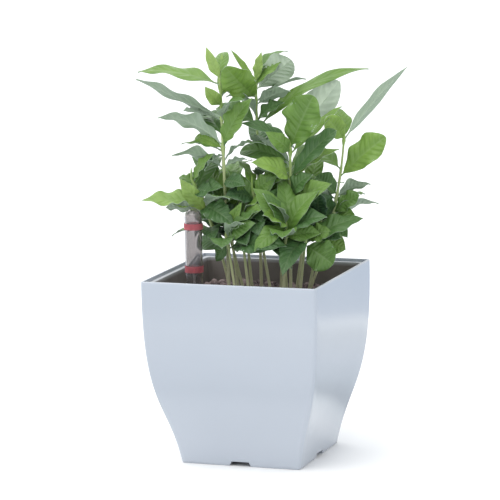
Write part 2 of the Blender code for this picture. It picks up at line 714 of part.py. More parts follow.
def place_leaves():
    """Every leaf's cross-sections by seedling, each leaf turned about its joint until it clears the
    other seedlings and the gauge's way out. A leaf that never clears is left out."""
    random = np.random.default_rng(SEED)
    axis = Vector((GAUGE_X, GAUGE_Y, 0))
    ends = [round_ring(CLEAR_COLUMN, z, 12) for z in (COLUMN_LOW, COLUMN_HIGH)]
    column = [[(axis + Vector(point)) / MM for point in ring] for ring in ends]
    taken = [(None, tree_of(column))]
    for name, plant in SEEDLINGS.items():
        taken.append((name, tree_of(stem_rings(*plant[:3]))))
    placed = {name: [] for name in SEEDLINGS}
    listed = [(name, leaf) for name, plant in SEEDLINGS.items() for leaf in plant[3]]
    for name, plant in SEEDLINGS.items():
        listed += [(name, leaf) for leaf in rule_leaves(*plant[:3], *plant[4], random)]
    for name, (z, tip, width, turn, arch) in listed:
        base = stem_point(*SEEDLINGS[name][:3], z)
        others = [tree for owner, tree in taken if owner != name]
        for rise, heading in itertools.product(RISES, HEADINGS):
            end = turned_tip(base, Vector(tip), heading, rise)
            rings = leaf_rings(base, end, width, turn, arch)
            tree = tree_of(rings)
            fits = max(point.y for ring in rings for point in ring) < BACK_REACH
            if fits and not any(tree.overlap(other) for other in others):
                placed[name].append(rings)
                taken.append((name, tree))
                break
    return placed


def in_metres(rings, origin):
    return [[(Vector(point) - origin) * MM for point in ring] for ring in rings]


def seedlings(parent):
    for name, leaves in place_leaves().items():
        foot = SEEDLINGS[name][0]
        origin = Vector((*foot, PEBBLE_TOP / MM))
        stem = in_metres(stem_rings(*SEEDLINGS[name][:3]), origin)
        plant = add_object(name, skin(stem), "leaf green", origin * MM)
        for number, rings in enumerate(leaves, 1):
            leaf = skin(in_metres(rings, origin))
            combine(plant, helper(f"{name}_leaf_{number}", leaf, origin * MM), "UNION")
        attach(plant, parent)


# ---------------------------------------------------------------- the whole planter

def build():
    clear_scene()
    outer_pot()
    attach(drain_plug(), joint_empty("plug_joint", (0, 0, FLOOR_TOP)))

    lift = joint_empty("grow_pot_joint", (0, 0, LEDGE_TOP))
    attach(grow_pot(), lift)
    attach(filling("soil", LINER_FLOOR + CUP_FLANGE_THICKNESS + 2 * GAP, SOIL_TOP, "potting soil"), lift)
    attach(filling("pebble_layer", SOIL_TOP + GAP, PEBBLE_TOP, "clay pebbles"), lift)
    for number, (x, y) in enumerate(cup_places(), 1):
        attach(wick_cup(number, x, y), lift)
        attach(wick_core(number, x, y), lift)
    seedlings(lift)

    gauge = joint_empty("gauge_joint", (GAUGE_X, GAUGE_Y, SLEEVE_TOP), lift)
    attach(gauge_tube(), gauge)
    attach(gauge_sleeve(), gauge)
    attach(mark_ring("max_ring", MAX_MARK, MAX_BAND), gauge)
    attach(mark_ring("min_ring", MIN_MARK, MIN_BAND), gauge)

    rising = joint_empty("float_joint", (GAUGE_X, GAUGE_Y, MIN_MARK), gauge)
    attach(float_block(), rising)
    attach(float_rod(), rising)
    attach(pointer(), rising)


build()
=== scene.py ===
"""The looks of a square self-watering planter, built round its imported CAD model.

The outer pot, the planting pot, the gauge and the fittings are made again with fine surfaces, the
seedlings get real leaves with veins and wavy margins, and the pebble layer becomes loose stones.
Lengths are in metres; the tables of plants are in millimetres and are scaled by MM.
"""

import itertools
import math

import bmesh
import bpy
import numpy as np
from mathutils import Matrix, Vector
from mathutils.bvhtree import BVHTree


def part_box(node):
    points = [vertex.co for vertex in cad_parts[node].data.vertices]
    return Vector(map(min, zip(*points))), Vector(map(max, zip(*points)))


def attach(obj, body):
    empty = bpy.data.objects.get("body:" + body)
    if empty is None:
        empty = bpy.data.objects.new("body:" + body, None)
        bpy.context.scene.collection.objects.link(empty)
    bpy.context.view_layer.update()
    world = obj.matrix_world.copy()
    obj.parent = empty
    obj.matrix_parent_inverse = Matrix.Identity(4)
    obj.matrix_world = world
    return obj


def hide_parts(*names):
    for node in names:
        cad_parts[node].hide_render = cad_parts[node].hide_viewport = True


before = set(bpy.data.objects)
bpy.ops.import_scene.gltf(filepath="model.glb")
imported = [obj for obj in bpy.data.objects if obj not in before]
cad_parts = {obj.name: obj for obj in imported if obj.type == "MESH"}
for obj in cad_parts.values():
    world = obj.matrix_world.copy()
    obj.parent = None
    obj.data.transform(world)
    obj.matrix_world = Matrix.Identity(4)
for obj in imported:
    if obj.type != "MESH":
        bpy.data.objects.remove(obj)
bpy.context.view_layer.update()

MM = 0.001
GAP = 0.3 * MM


# ---------------------------------------------------------------- camera, floor and light

CAMERA_AZIMUTH, CAMERA_ELEVATION, CAMERA_ROLL = 19.37, 9.34, -1.06
CAMERA_DISTANCE, CAMERA_LENS = 3.194, 208.7
AIM_SIDE, AIM_HEIGHT = -0.0078, 0.2286

SQUARE = ((-1, -1), (1, -1), (1, 1), (-1, 1))
FLOOR_HALF, FLOOR_DROP = 40, 0.2 * MM
CARD_HOLE, CARD_HALF = 0.08, 4.0
CARD_TOP, CARD_UNDER = 1 * MM, 0.5 * MM

# How bright the floor looks in the pot's gloss, against the distance from the planter's middle.
CARD_REACH = 1.5
CARD_SHADES = (
    (0.10, (0.95, 0.95, 0.95)),
    (0.15, (0.75, 0.77, 0.78)),
    (0.19, (0.30, 0.32, 0.34)),
    (0.26, (0.42, 0.46, 0.50)),
    (0.38, (0.52, 0.55, 0.60)),
    (0.58, (0.58, 0.60, 0.62)),
    (0.66, (0.80, 0.82, 0.84)),
    (0.76, (0.42, 0.47, 0.56)),
    (1.10, (0.36, 0.43, 0.54)),
)


def direction(azimuth, elevation):
    """The unit vector of a compass direction: azimuth 0 is the front, 90 is +X."""
    a, e = math.radians(azimuth), math.radians(elevation)
    return Vector((math.sin(a) * math.cos(e), -math.cos(a) * math.cos(e), math.sin(e)))


def make_camera():
    back = direction(CAMERA_AZIMUTH, CAMERA_ELEVATION)
    right = direction(CAMERA_AZIMUTH + 90, 0)
    data = bpy.data.cameras.new("camera")
    data.lens = CAMERA_LENS
    data.sensor_width = 36
    data.clip_end = 100
    camera = bpy.data.objects.new("camera", data)
    camera.location = right * AIM_SIDE + Vector((0, 0, AIM_HEIGHT)) + back * CAMERA_DISTANCE
    roll = Matrix.Rotation(math.radians(CAMERA_ROLL), 3, "Z").to_quaternion()
    camera.rotation_mode = "QUATERNION"
    camera.rotation_quaternion = (-back).to_track_quat("-Z", "Y") @ roll
    bpy.context.scene.collection.objects.link(camera)
    bpy.context.scene.camera = camera


def sun_light(name, azimuth, elevation, power, spread, colour):
    """A soft sun that shines from a compass direction."""
    data = bpy.data.lights.new(name, "SUN")
    data.energy = power
    data.angle = math.radians(spread)
    data.color = colour
    light = bpy.data.objects.new(name, data)
    towards = direction(azimuth, elevation)
    light.location = towards * 3
    light.rotation_mode = "QUATERNION"
    light.rotation_quaternion = (-towards).to_track_quat("-Z", "Y")
    bpy.context.scene.collection.objects.link(light)


def reflection_card():
    """A flat square ring round the planter that only glossy surfaces see, as a studio's cards are."""
    graph = Graph("card_shades", 0.9, Specular_IOR_Level=0.0)
    place = graph.add("ShaderNodeTexCoord", 3)
    sides = [graph.math("ABSOLUTE", graph.add("ShaderNodeSeparateXYZ", axis, _0=place)) for axis in (0, 1)]
    share = graph.math("DIVIDE", graph.math("MAXIMUM", *sides), CARD_REACH)
    stops = ((distance / CARD_REACH, colour) for distance, colour in CARD_SHADES)
    graph.use("Base Color", graph.ramp(share, *stops))
    edges = ((CARD_HOLE, CARD_TOP), (CARD_HALF, CARD_TOP), (CARD_HALF, CARD_UNDER), (CARD_HOLE, CARD_UNDER))
    rings = [[(x * half, y * half, z) for x, y in SQUARE] for half, z in edges]
    card = add_object("reflection_card", skin(rings, loop=True), graph.material)
    for ray in ("camera", "diffuse", "transmission", "shadow", "volume_scatter"):
        setattr(card, f"visible_{ray}", False)


def make_stage():
    corners = [(x * FLOOR_HALF, y * FLOOR_HALF, 0) for x, y in SQUARE]
    floor = add_object("floor", skin([corners], flat=True), floor_material())
    floor.location.z = -FLOOR_DROP
    reflection_card()
    world = bpy.data.worlds.new("studio")
    bpy.context.scene.world = world
    world.use_nodes = True
    background = world.node_tree.nodes["Background"]
    background.inputs["Color"].default_value = (0.96, 0.98, 1.0, 1)
    background.inputs["Strength"].default_value = 0.92
    sun_light("key", azimuth=-30, elevation=62, power=1.4, spread=60, colour=(1.0, 0.985, 0.96))
    sun_light("back", azimuth=205, elevation=50, power=0.75, spread=60, colour=(0.95, 0.98, 1.0))
    bpy.context.scene.view_settings.view_transform = "Standard"


# ---------------------------------------------------------------- meshes

def skin(rings, loop=False, flat=False):
    """A mesh with faces between each ring of points and the next. A ring of one point is a pole.

    The end rings are filled, unless loop joins the last ring to the first. Flat is one filled ring.
    """
    mesh = bmesh.new()
    rows = [[mesh.verts.new(point) for point in ring] for ring in rings]
    pairs = list(zip(rows, rows[1:]))
    if loop:
        pairs.append((rows[-1], rows[0]))
    for low, high in pairs:
        count = max(len(low), len(high))
        for i in range(count if count > 1 else 0):
            j = (i + 1) % count
            corners = (low[i % len(low)], low[j % len(low)], high[j % len(high)], high[i % len(high)])
            mesh.faces.new(list(dict.fromkeys(corners)))
    for end in (rows[:1] if flat else (rows[0], rows[-1])):
        if not loop and len(end) > 2:
            mesh.faces.new(end)
    bmesh.ops.recalc_face_normals(mesh, faces=mesh.faces)
    return mesh


def add_object(name, mesh, *finishes, location=(0, 0, 0), sharp=35):
    data = bpy.data.meshes.new(name)
    mesh.to_mesh(data)
    mesh.free()
    for finish in finishes:
        data.materials.append(finish)
    data.shade_smooth()
    data.set_sharp_from_angle(angle=math.radians(sharp))
    obj = bpy.data.objects.new(name, data)
    obj.location = location
    bpy.context.scene.collection.objects.link(obj)
    return obj


def finish_mesh(obj, cutters=(), bevel=0.0, segments=2, sharp=35):
    """Cuts the cutters out, rounds the sharp edges, and keeps the result as obj's own mesh."""
    for cutter in cutters:
        boolean = obj.modifiers.new("cut", "BOOLEAN")
        boolean.operation = "DIFFERENCE"
        boolean.object = cutter
    if bevel:
        rounding = obj.modifiers.new("round", "BEVEL")
        rounding.width = bevel
        rounding.segments = segments
        rounding.limit_method = "ANGLE"
        rounding.angle_limit = math.radians(sharp)
        rounding.miter_outer = "MITER_ARC"
    bpy.context.view_layer.update()
    depsgraph = bpy.context.evaluated_depsgraph_get()
    data = bpy.data.meshes.new_from_object(obj.evaluated_get(depsgraph))
    obj.modifiers.clear()
    obj.data = data
    data.shade_smooth()
    data.set_sharp_from_angle(angle=math.radians(sharp))
    for cutter in cutters:
        bpy.data.objects.remove(cutter, do_unlink=True)
    return obj


def square_ring(half, corner, z, steps=8, along=12, hollow=0.0):
    """Points round a square with rounded corners, at one height. Hollow is how far the middle of
    each side lies inside the straight line between its corners."""
    ring = []
    flat = half - corner
    for quarter in range(4):
        turn = Matrix.Rotation(quarter * math.pi / 2, 2)
        for step in range(1, along):
            across = -flat + 2 * flat * step / along
            ring.append(turn @ Vector((half - hollow * (1 - (across / flat) ** 2), across)))
        for step in range(steps + 1):
            angle = step * math.pi / (2 * steps)
            ring.append(turn @ Vector((flat + corner * math.cos(angle), flat + corner * math.sin(angle))))
    return [(point.x, point.y, z) for point in ring]


def round_ring(radius, z, sides):
    if radius == 0:
        return [(0, 0, z)]
    turns = [2 * math.pi * i / sides for i in range(sides)]
    return [(radius * math.cos(a), radius * math.sin(a), z) for a in turns]


def turned(profile, sides=64, loop=False):
    """A mesh of revolution about Z from (radius, height) pairs. The ends close on the axis, or loop."""
    return skin([round_ring(radius, z, sides) for radius, z in profile], loop)


def cross_prism(width, reach, low, high):
    """Two upright slabs that cross at the middle, as one prism."""
    w = width / 2
    outline = []
    for quarter in range(4):
        turn = Matrix.Rotation(-quarter * math.pi / 2, 2)
        outline += [Vector(p) @ turn for p in ((w, w), (reach, w), (reach, -w))][::-1]
    return skin([[(p.x, p.y, z) for p in outline] for z in (low, high)])


def middle_of(node):
    low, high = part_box(node)
    return (low + high) / 2


def hole_cutter(name, radius, x, y, low, high):
    return add_object(name, turned(((0, low), (radius, low), (radius, high), (0, high))), location=(x, y, 0))


def piece(obj, body, slot, *nodes):
    """Makes obj ride on its body, in the place of the CAD nodes that it stands for."""
    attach(obj, body)
    if nodes:
        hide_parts(*nodes)
    return obj


# ---------------------------------------------------------------- materials

LIT_LIP_LOW, LIT_LIP_HIGH = 198 * MM, 203 * MM  # between these heights the planting pot's brown turns pale: painted light on the flange's top


class Graph:
    """A material's node tree, with short calls to add nodes and link them."""

    def __init__(self, name, roughness=0.5, **constants):
        self.material = bpy.data.materials.new(name)
        self.material.use_nodes = True
        self.tree = self.material.node_tree
        self.shader = self.tree.nodes["Principled BSDF"]
        self.shader.inputs["Roughness"].default_value = roughness
        for socket, value in constants.items():
            self.shader.inputs[socket.replace("_", " ")].default_value = value

    def add(self, kind, output=0, settings=(), **inputs):
        """A node's output socket. Inputs are numbers, colours or other sockets, by index as _0, _1."""
        node = self.tree.nodes.new(kind)
        for setting, value in dict(settings).items():
            setattr(node, setting, value)
        for key, value in inputs.items():
            socket = node.inputs[int(key[1:])] if key[1:].isdigit() else node.inputs[key.replace("_", " ")]
            if isinstance(value, bpy.types.NodeSocket):
                self.tree.links.new(value, socket)
            else:
                socket.default_value = value
        return node.outputs[output]

    def math(self, operation, first, second=0.0, clamp=False):
        settings = {"operation": operation, "use_clamp": clamp}
        return self.add("ShaderNodeMath", settings=settings, _0=first, _1=second)

    def noise(self, scale, detail=3.0, roughness=0.55, vector=None):
        place = vector or self.add("ShaderNodeTexCoord", 3)
        return self.add("ShaderNodeTexNoise", Vector=place, Scale=scale, Detail=detail, Roughness=roughness)

    def ramp(self, factor, *stops):
        """Colours or greys against a factor, from (position, colour) pairs."""
        node = self.tree.nodes.new("ShaderNodeValToRGB")
        elements = node.color_ramp.elements
        while len(elements) < len(stops):
            elements.new(0.5)
        for element, (position, colour) in zip(elements, stops):
            element.position = position
            element.color = colour if len(colour) == 4 else (*colour, 1)
        self.tree.links.new(factor, node.inputs[0])
        return node.outputs[0]

    def mix(self, factor, first, second, blend="MIX"):
        node = self.tree.nodes.new("ShaderNodeMix")
        node.data_type = "RGBA"
        node.blend_type = blend
        for index, value in ((0, factor), (6, first), (7, second)):
            if isinstance(value, bpy.types.NodeSocket):
                self.tree.links.new(value, node.inputs[index])
            else:
                node.inputs[index].default_value = value if index == 0 or len(value) == 4 else (*value, 1)
        return node.outputs[2]

    def use(self, socket, value):
        self.tree.links.new(value, self.shader.inputs[socket])

    def vary(self, socket, scale, low, high, detail=3.0):
        """Lets a socket wander between two colours."""
        self.use(socket, self.ramp(self.noise(scale, detail), (0.3, low), (0.7, high)))

    def bump(self, height, strength, distance):
        self.use("Normal", self.add("ShaderNodeBump", Height=height, Strength=strength, Distance=distance))


def grey(value):
    return (value, value, value)


def floor_material():
    graph = Graph("floor_pale", 0.9, Specular_IOR_Level=0.1)
    graph.vary("Base Color", 3.0, grey(0.94), grey(0.95))
    return graph.material


def pot_material():
    """Glossy white moulded plastic with a faint orange peel."""
    graph = Graph("pot_gloss_white", 0.1, Coat_Weight=0.35, Coat_Roughness=0.05, Specular_IOR_Level=0.5)
    graph.vary("Base Color", 6.0, (0.448, 0.491, 0.556), (0.466, 0.509, 0.574), detail=2.0)
    graph.vary("Roughness", 60.0, grey(0.12), grey(0.18))
    graph.bump(graph.noise(900.0, 2.0), 0.02, 0.2 * MM)
    return graph.material


def plastic_material(name, colour, roughness, grain=500.0):
    """Moulded plastic with a fine grain and a little change of shade."""
    graph = Graph(name, roughness)
    graph.vary("Base Color", 25.0, tuple(c * 0.88 for c in colour), tuple(c * 1.12 for c in colour))
    graph.vary("Roughness", 90.0, grey(roughness * 0.85), grey(roughness * 1.15))
    graph.bump(graph.noise(grain, 2.0), 0.15, 0.1 * MM)
    return graph.material


def liner_material():
    """Brown plastic whose flange, next to the pot's lip, is painted pale grey: a painted highlight for the
    light that the flange's top catches.
    """
    graph = Graph("liner_brown_plastic", 0.42)
    height = graph.add("ShaderNodeSeparateXYZ", 2, _0=graph.add("ShaderNodeTexCoord", 3))
    above = graph.math("DIVIDE", graph.math("SUBTRACT", height, LIT_LIP_LOW), LIT_LIP_HIGH - LIT_LIP_LOW, clamp=True)
    brown = graph.ramp(graph.noise(25.0), (0.3, (0.140, 0.122, 0.112)), (0.7, (0.180, 0.158, 0.146)))
    # Painted light: the flange's top is painted pale grey, for the light that it catches.
    graph.use("Base Color", graph.mix(above, brown, (0.47, 0.49, 0.52)))
    graph.vary("Roughness", 90.0, grey(0.36), grey(0.48))
    graph.bump(graph.noise(700.0, 2.0), 0.15, 0.1 * MM)
    return graph.material


def clear_material():
    """Smoky acrylic, not quite polished."""
    graph = Graph("clear_acrylic", 0.04, Transmission_Weight=0.92, IOR=1.46)
    graph.vary("Base Color", 40.0, (0.52, 0.495, 0.49), (0.56, 0.535, 0.53))
    graph.use("Roughness", graph.ramp(graph.noise(120.0), (0.35, grey(0.03)), (0.7, grey(0.09))))
    return graph.material


def film_material():
    """The red print of the marks, thin enough to see the pointer through."""
    graph = Graph("red_film", 0.4, Transmission_Weight=0.75, IOR=1.2)
    graph.vary("Base Color", 150.0, (0.76, 0.24, 0.28), (0.84, 0.30, 0.34))
    graph.vary("Roughness", 90.0, grey(0.3), grey(0.45))
    return graph.material


def felt_material():
    graph = Graph("wick_felt", 0.95, Sheen_Weight=0.4)
    threads = graph.noise(700.0, 6.0, 0.8)
    graph.use("Base Color", graph.ramp(threads, (0.3, (0.34, 0.3, 0.24)), (0.7, (0.58, 0.53, 0.44))))
    graph.bump(threads, 0.6, 0.6 * MM)
    return graph.material


def soil_material():
    graph = Graph("potting_soil", 0.95)
    crumbs = graph.noise(260.0, 8.0, 0.75)
    dark, middling, light = (0.012, 0.009, 0.007), (0.045, 0.032, 0.024), (0.10, 0.075, 0.055)
    graph.use("Base Color", graph.ramp(crumbs, (0.3, dark), (0.55, middling), (0.8, light)))
    graph.bump(crumbs, 0.9, 1.5 * MM)
    return graph.material


def pebble_material():
    """Fired clay: each stone has its own shade, with a dusty, pitted skin."""
    graph = Graph("fired_clay", 0.85)
    shade = graph.add("ShaderNodeAttribute", 2, {"attribute_name": "tone"})
    clay = graph.ramp(
        shade,
        (0.0, (0.05, 0.035, 0.035)),
        (0.4, (0.13, 0.09, 0.095)),
        (0.75, (0.24, 0.165, 0.16)),
        (1.0, (0.38, 0.30, 0.29)),
    )
    pits = graph.noise(420.0, 5.0, 0.7)
    dust = graph.ramp(pits, (0.4, grey(0.0)), (0.75, grey(0.6)))
    graph.use("Base Color", graph.mix(dust, clay, (0.34, 0.29, 0.29)))
    graph.bump(pits, 0.5, 0.5 * MM)
    return graph.material


def vein_mask(graph, sharpness):
    """1 on the midrib and the side veins of a leaf, 0 between them, from the blade's own places."""
    along = graph.add("ShaderNodeAttribute", 2, {"attribute_name": "along"})
    across = graph.math("ABSOLUTE", graph.add("ShaderNodeAttribute", 2, {"attribute_name": "across"}))
    wave = graph.math("PINGPONG", graph.math("MULTIPLY", along, VEINS), 0.5)
    side = graph.math("SUBTRACT", 1.0, graph.math("MULTIPLY", wave, sharpness), clamp=True)
    fading = graph.math("MULTIPLY", side, graph.math("SUBTRACT", 1.1, across, clamp=True))
    middle = graph.math("SUBTRACT", 1.0, graph.math("MULTIPLY", across, 11.0), clamp=True)
    return graph.math("MAXIMUM", fading, middle)


def leaf_upper_material():
    """The glossy upper face: dark to yellow green by the leaf's age and by painted shade, veins a little
    paler.
    """
    graph = Graph("leaf_upper", 0.4, Specular_IOR_Level=0.4)
    age_and_shade = graph.add("ShaderNodeAttribute", 2, {"attribute_name": "tone"})
    blade = graph.ramp(
        age_and_shade,
        (0.0, (0.024, 0.066, 0.030)),
        (0.25, (0.060, 0.138, 0.042)),
        (0.5, (0.125, 0.240, 0.045)),
        (0.8, (0.205, 0.350, 0.060)),
        (1.0, (0.330, 0.480, 0.130)),
    )
    patches = graph.ramp(graph.noise(55.0, 4.0), (0.35, grey(0.0)), (0.7, grey(0.4)))
    mottled = graph.mix(patches, blade, (0.06, 0.14, 0.03))
    paler = graph.mix(0.5, blade, (0.30, 0.42, 0.20))
    graph.use("Base Color", graph.mix(graph.math("MULTIPLY", vein_mask(graph, 8.0), 0.4), mottled, paler))
    graph.vary("Roughness", 80.0, grey(0.34), grey(0.5))
    graph.bump(graph.noise(600.0, 3.0), 0.12, 0.2 * MM)
    return graph.material


def leaf_lower_material():
    """The matt, grey green underside, with raised veins."""
    graph = Graph("leaf_lower", 0.5, Specular_IOR_Level=0.5)
    # The tone holds the leaf's age and painted shade alike: shaded leaves are painted darker.
    age_and_shade = graph.add("ShaderNodeAttribute", 2, {"attribute_name": "tone"})
    blade = graph.ramp(age_and_shade, (0.0, (0.20, 0.28, 0.19)), (0.6, (0.32, 0.42, 0.30)), (1.0, (0.50, 0.60, 0.46)))
    patches = graph.ramp(graph.noise(70.0, 4.0), (0.35, grey(0.0)), (0.7, grey(0.4)))
    mottled = graph.mix(patches, blade, (0.29, 0.36, 0.30))
    veins = graph.math("MULTIPLY", vein_mask(graph, 8.0), 0.5)
    graph.use("Base Color", graph.mix(veins, mottled, (0.44, 0.54, 0.40)))
    graph.bump(vein_mask(graph, 6.0), 0.35, 0.4 * MM)
    return graph.material


def stem_material():
    """Pale and woody at the foot, green towards the crown."""
    graph = Graph("stem_green", 0.45)
    height = graph.add("ShaderNodeAttribute", 2, {"attribute_name": "tone"})
    bark = graph.ramp(
        height,
        (0.0, (0.66, 0.67, 0.45)),
        (0.35, (0.54, 0.60, 0.32)),
        (0.7, (0.34, 0.46, 0.16)),
        (1.0, (0.25, 0.40, 0.09)),
    )
    streaks = graph.ramp(graph.noise(160.0, 4.0), (0.4, grey(0.0)), (0.75, grey(0.5)))
    graph.use("Base Color", graph.mix(streaks, bark, (0.50, 0.49, 0.31)))
    graph.bump(graph.noise(300.0, 4.0), 0.3, 0.4 * MM)
    return graph.material


# ---------------------------------------------------------------- outer pot

# Half the outer pot's width against height is one cubic curve, from the rim down to the base.
POT_CURVE = ((100, 206), (101, 64), (81, 74), (68.5, 0))
POT_CORNER, POT_INNER_CORNER = 4 * MM, 2 * MM
POT_WALL = 3 * MM
OUTSIDE_STEPS, OUTSIDE_TO = 70, 0.997  # the outside stops just short of the foot's rounded edge
INSIDE_STEPS = 30
INSIDE_FROM, INSIDE_TO, INSIDE_FLOOR = 0.03, 0.88, 0.95  # places along the curve that the inside follows
LIP_ROUND = 1.5 * MM
MOUTH_CORNER = 2.2 * MM
LEDGE_TOP = 200.5 * MM
LEDGE_HALF, LEDGE_THICKNESS = 94.9 * MM, 2.5 * MM
FLOOR_UNDER = 7 * MM
FLOOR_TOP = 10 * MM
RECESS_HALF = 64 * MM
RECESS_CORNER = 26 * MM
NOTCH_WIDTH, NOTCH_TOP_WIDTH, NOTCH_HEIGHT = 25 * MM, 20 * MM, 5 * MM
NOTCH_REACH, DRAIN_CUT = 80 * MM, 20 * MM
DRAIN_RADIUS = 6 * MM
POT_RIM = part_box("outer_pot")[1].z
# The walls are a little hollow round this height.
WAIST_HOLLOW, WAIST_HEIGHT, WAIST_SPREAD = 1.2 * MM, 62 * MM, 30 * MM


def wall_point(t, inset=0.0):
    """(half width, height) on the pot's side curve, moved inwards by inset along the normal."""
    points = [Vector(p) * MM for p in POT_CURVE]
    s = 1 - t
    place = points[0] * s**3 + points[1] * 3 * s * s * t + points[2] * 3 * s * t * t + points[3] * t**3
    first, second, third = (after - before for before, after in zip(points, points[1:]))
    along = (first * s * s + second * 2 * s * t + third * t * t).normalized()
    return place + Vector((along.y, -along.x)) * inset


def notch_prism():
    """A bar right across the base, whose ends cut the notches in two opposite sides."""
    narrow = NOTCH_TOP_WIDTH / 2
    spare = 1 * MM
    wide = NOTCH_WIDTH / 2 + (NOTCH_WIDTH / 2 - narrow) / NOTCH_HEIGHT * spare
    outline = ((-wide, -spare), (wide, -spare), (narrow, NOTCH_HEIGHT), (-narrow, NOTCH_HEIGHT))
    return skin([[(x, y, z) for y, z in outline] for x in (-NOTCH_REACH, NOTCH_REACH)])


def outer_pot():
    top_half = wall_point(0).x
    edge = 0.4 * MM
    rings = [
        (RECESS_HALF, RECESS_CORNER, FLOOR_UNDER, 0),
        (RECESS_HALF, RECESS_CORNER, edge, 0),
        (RECESS_HALF + edge, RECESS_CORNER, 0, 0),
        (wall_point(1).x - 0.5 * MM, POT_CORNER, 0, 0),
    ]
    for step in range(OUTSIDE_STEPS, 0, -1):
        place = wall_point(step / OUTSIDE_STEPS * OUTSIDE_TO)
        hollow = WAIST_HOLLOW * math.exp(-((place.y - WAIST_HEIGHT) / WAIST_SPREAD) ** 2)
        rings.append((place.x, POT_CORNER, place.y, hollow))
    for degrees in range(0, 91, 15):
        angle = math.radians(degrees)
        inwards = LIP_ROUND * (1 - math.cos(angle))
        z = POT_RIM - LIP_ROUND * (1 - math.sin(angle))
        rings.append((top_half - inwards, POT_CORNER - inwards, z, 0))
    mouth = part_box("grow_pot")[1].x + GAP
    under_ledge = wall_point(INSIDE_FROM, POT_WALL)
    rings += [
        (mouth + 0.5 * MM, MOUTH_CORNER, POT_RIM, 0),
        (mouth + 0.1 * MM, MOUTH_CORNER, POT_RIM - 0.2 * MM, 0),
        (mouth, MOUTH_CORNER, POT_RIM - 0.7 * MM, 0),
        (mouth, MOUTH_CORNER, LEDGE_TOP, 0),
        (LEDGE_HALF, POT_INNER_CORNER, LEDGE_TOP, 0),
        (LEDGE_HALF, POT_INNER_CORNER, LEDGE_TOP - LEDGE_THICKNESS, 0),
        (under_ledge.x, POT_INNER_CORNER, under_ledge.y, 0),
    ]
    for step in range(1, INSIDE_STEPS + 1):
        place = wall_point(INSIDE_FROM + (INSIDE_TO - INSIDE_FROM) * step / INSIDE_STEPS, POT_WALL)
        rings.append((place.x, POT_INNER_CORNER, place.y, 0))
    floor_edge = wall_point(INSIDE_FLOOR, POT_WALL)
    rings.append((floor_edge.x - 1 * MM, POT_INNER_CORNER, FLOOR_TOP, 0))
    shell = skin([square_ring(half, corner, z, hollow=hollow) for half, corner, z, hollow in rings])
    pot = add_object("outer_pot_shell", shell, pot_material())
    cutters = [add_object("notches_x", notch_prism()), add_object("notches_y", notch_prism())]
    cutters[1].rotation_euler.z = math.pi / 2
    cutters.append(hole_cutter("drain", DRAIN_RADIUS, 0, 0, 0, DRAIN_CUT))
    finish_mesh(pot, cutters)
    piece(pot, "outer_pot", "pot_white", "outer_pot")


# ---------------------------------------------------------------- planting pot and what it holds

LINER_LOW, LINER_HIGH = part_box("grow_pot")
LINER_TOP = LINER_HIGH.z
LINER_FLANGE = LINER_HIGH.x
LINER_MOUTH = 93.4 * MM
LINER_BASE = 80 * MM
LINER_UNDER = LINER_LOW.z
LINER_FLOOR = LINER_UNDER + 2.5 * MM
LINER_WALL = 2 * MM
LINER_CORNER, FLANGE_CORNER = 8 * MM, 2 * MM
FLANGE_LOW = LEDGE_TOP + GAP
CUT_SPARE = 5 * MM
CUP_TOP_RADIUS, CUP_BASE_RADIUS = 14 * MM, 11 * MM
CUP_WALL, CUP_FLOOR, CUP_ROUND = 1.2 * MM, 2 * MM, 0.5 * MM
CUP_FLANGE, CUP_FLANGE_THICKNESS = 17 * MM, 1.6 * MM
CUP_SLOT, CUP_SLOT_REACH, CUP_SLOT_LOW, CUP_SLOT_HIGH = 5 * MM, 20 * MM, 22 * MM, 58 * MM
CORE_STEPS, CORE_RIPPLE, RIPPLE_TURN = 24, 0.15 * MM, 2.4
PEBBLE_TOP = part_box("pebble_layer")[1].z
PEBBLE_SPACINGS = (6.6 * MM, 8.91 * MM)  # in the lower and the upper layer
PEBBLE_RADIUS = (2.7 * MM, 4.1 * MM)
PEBBLE_RISE, PEBBLE_SHIFT, PEBBLE_HOP = 2.6 * MM, 1.3 * MM, 0.7 * MM
PEBBLE_SEED = 5


def liner_half(z, inner=True):
    """Half the planting pot's width at a height, inside or outside its wall."""
    share = (z - LINER_FLOOR) / (LINER_TOP - LINER_FLOOR)
    outer = LINER_BASE + share * (LINER_MOUTH - LINER_BASE)
    return outer - (LINER_WALL if inner else 0)


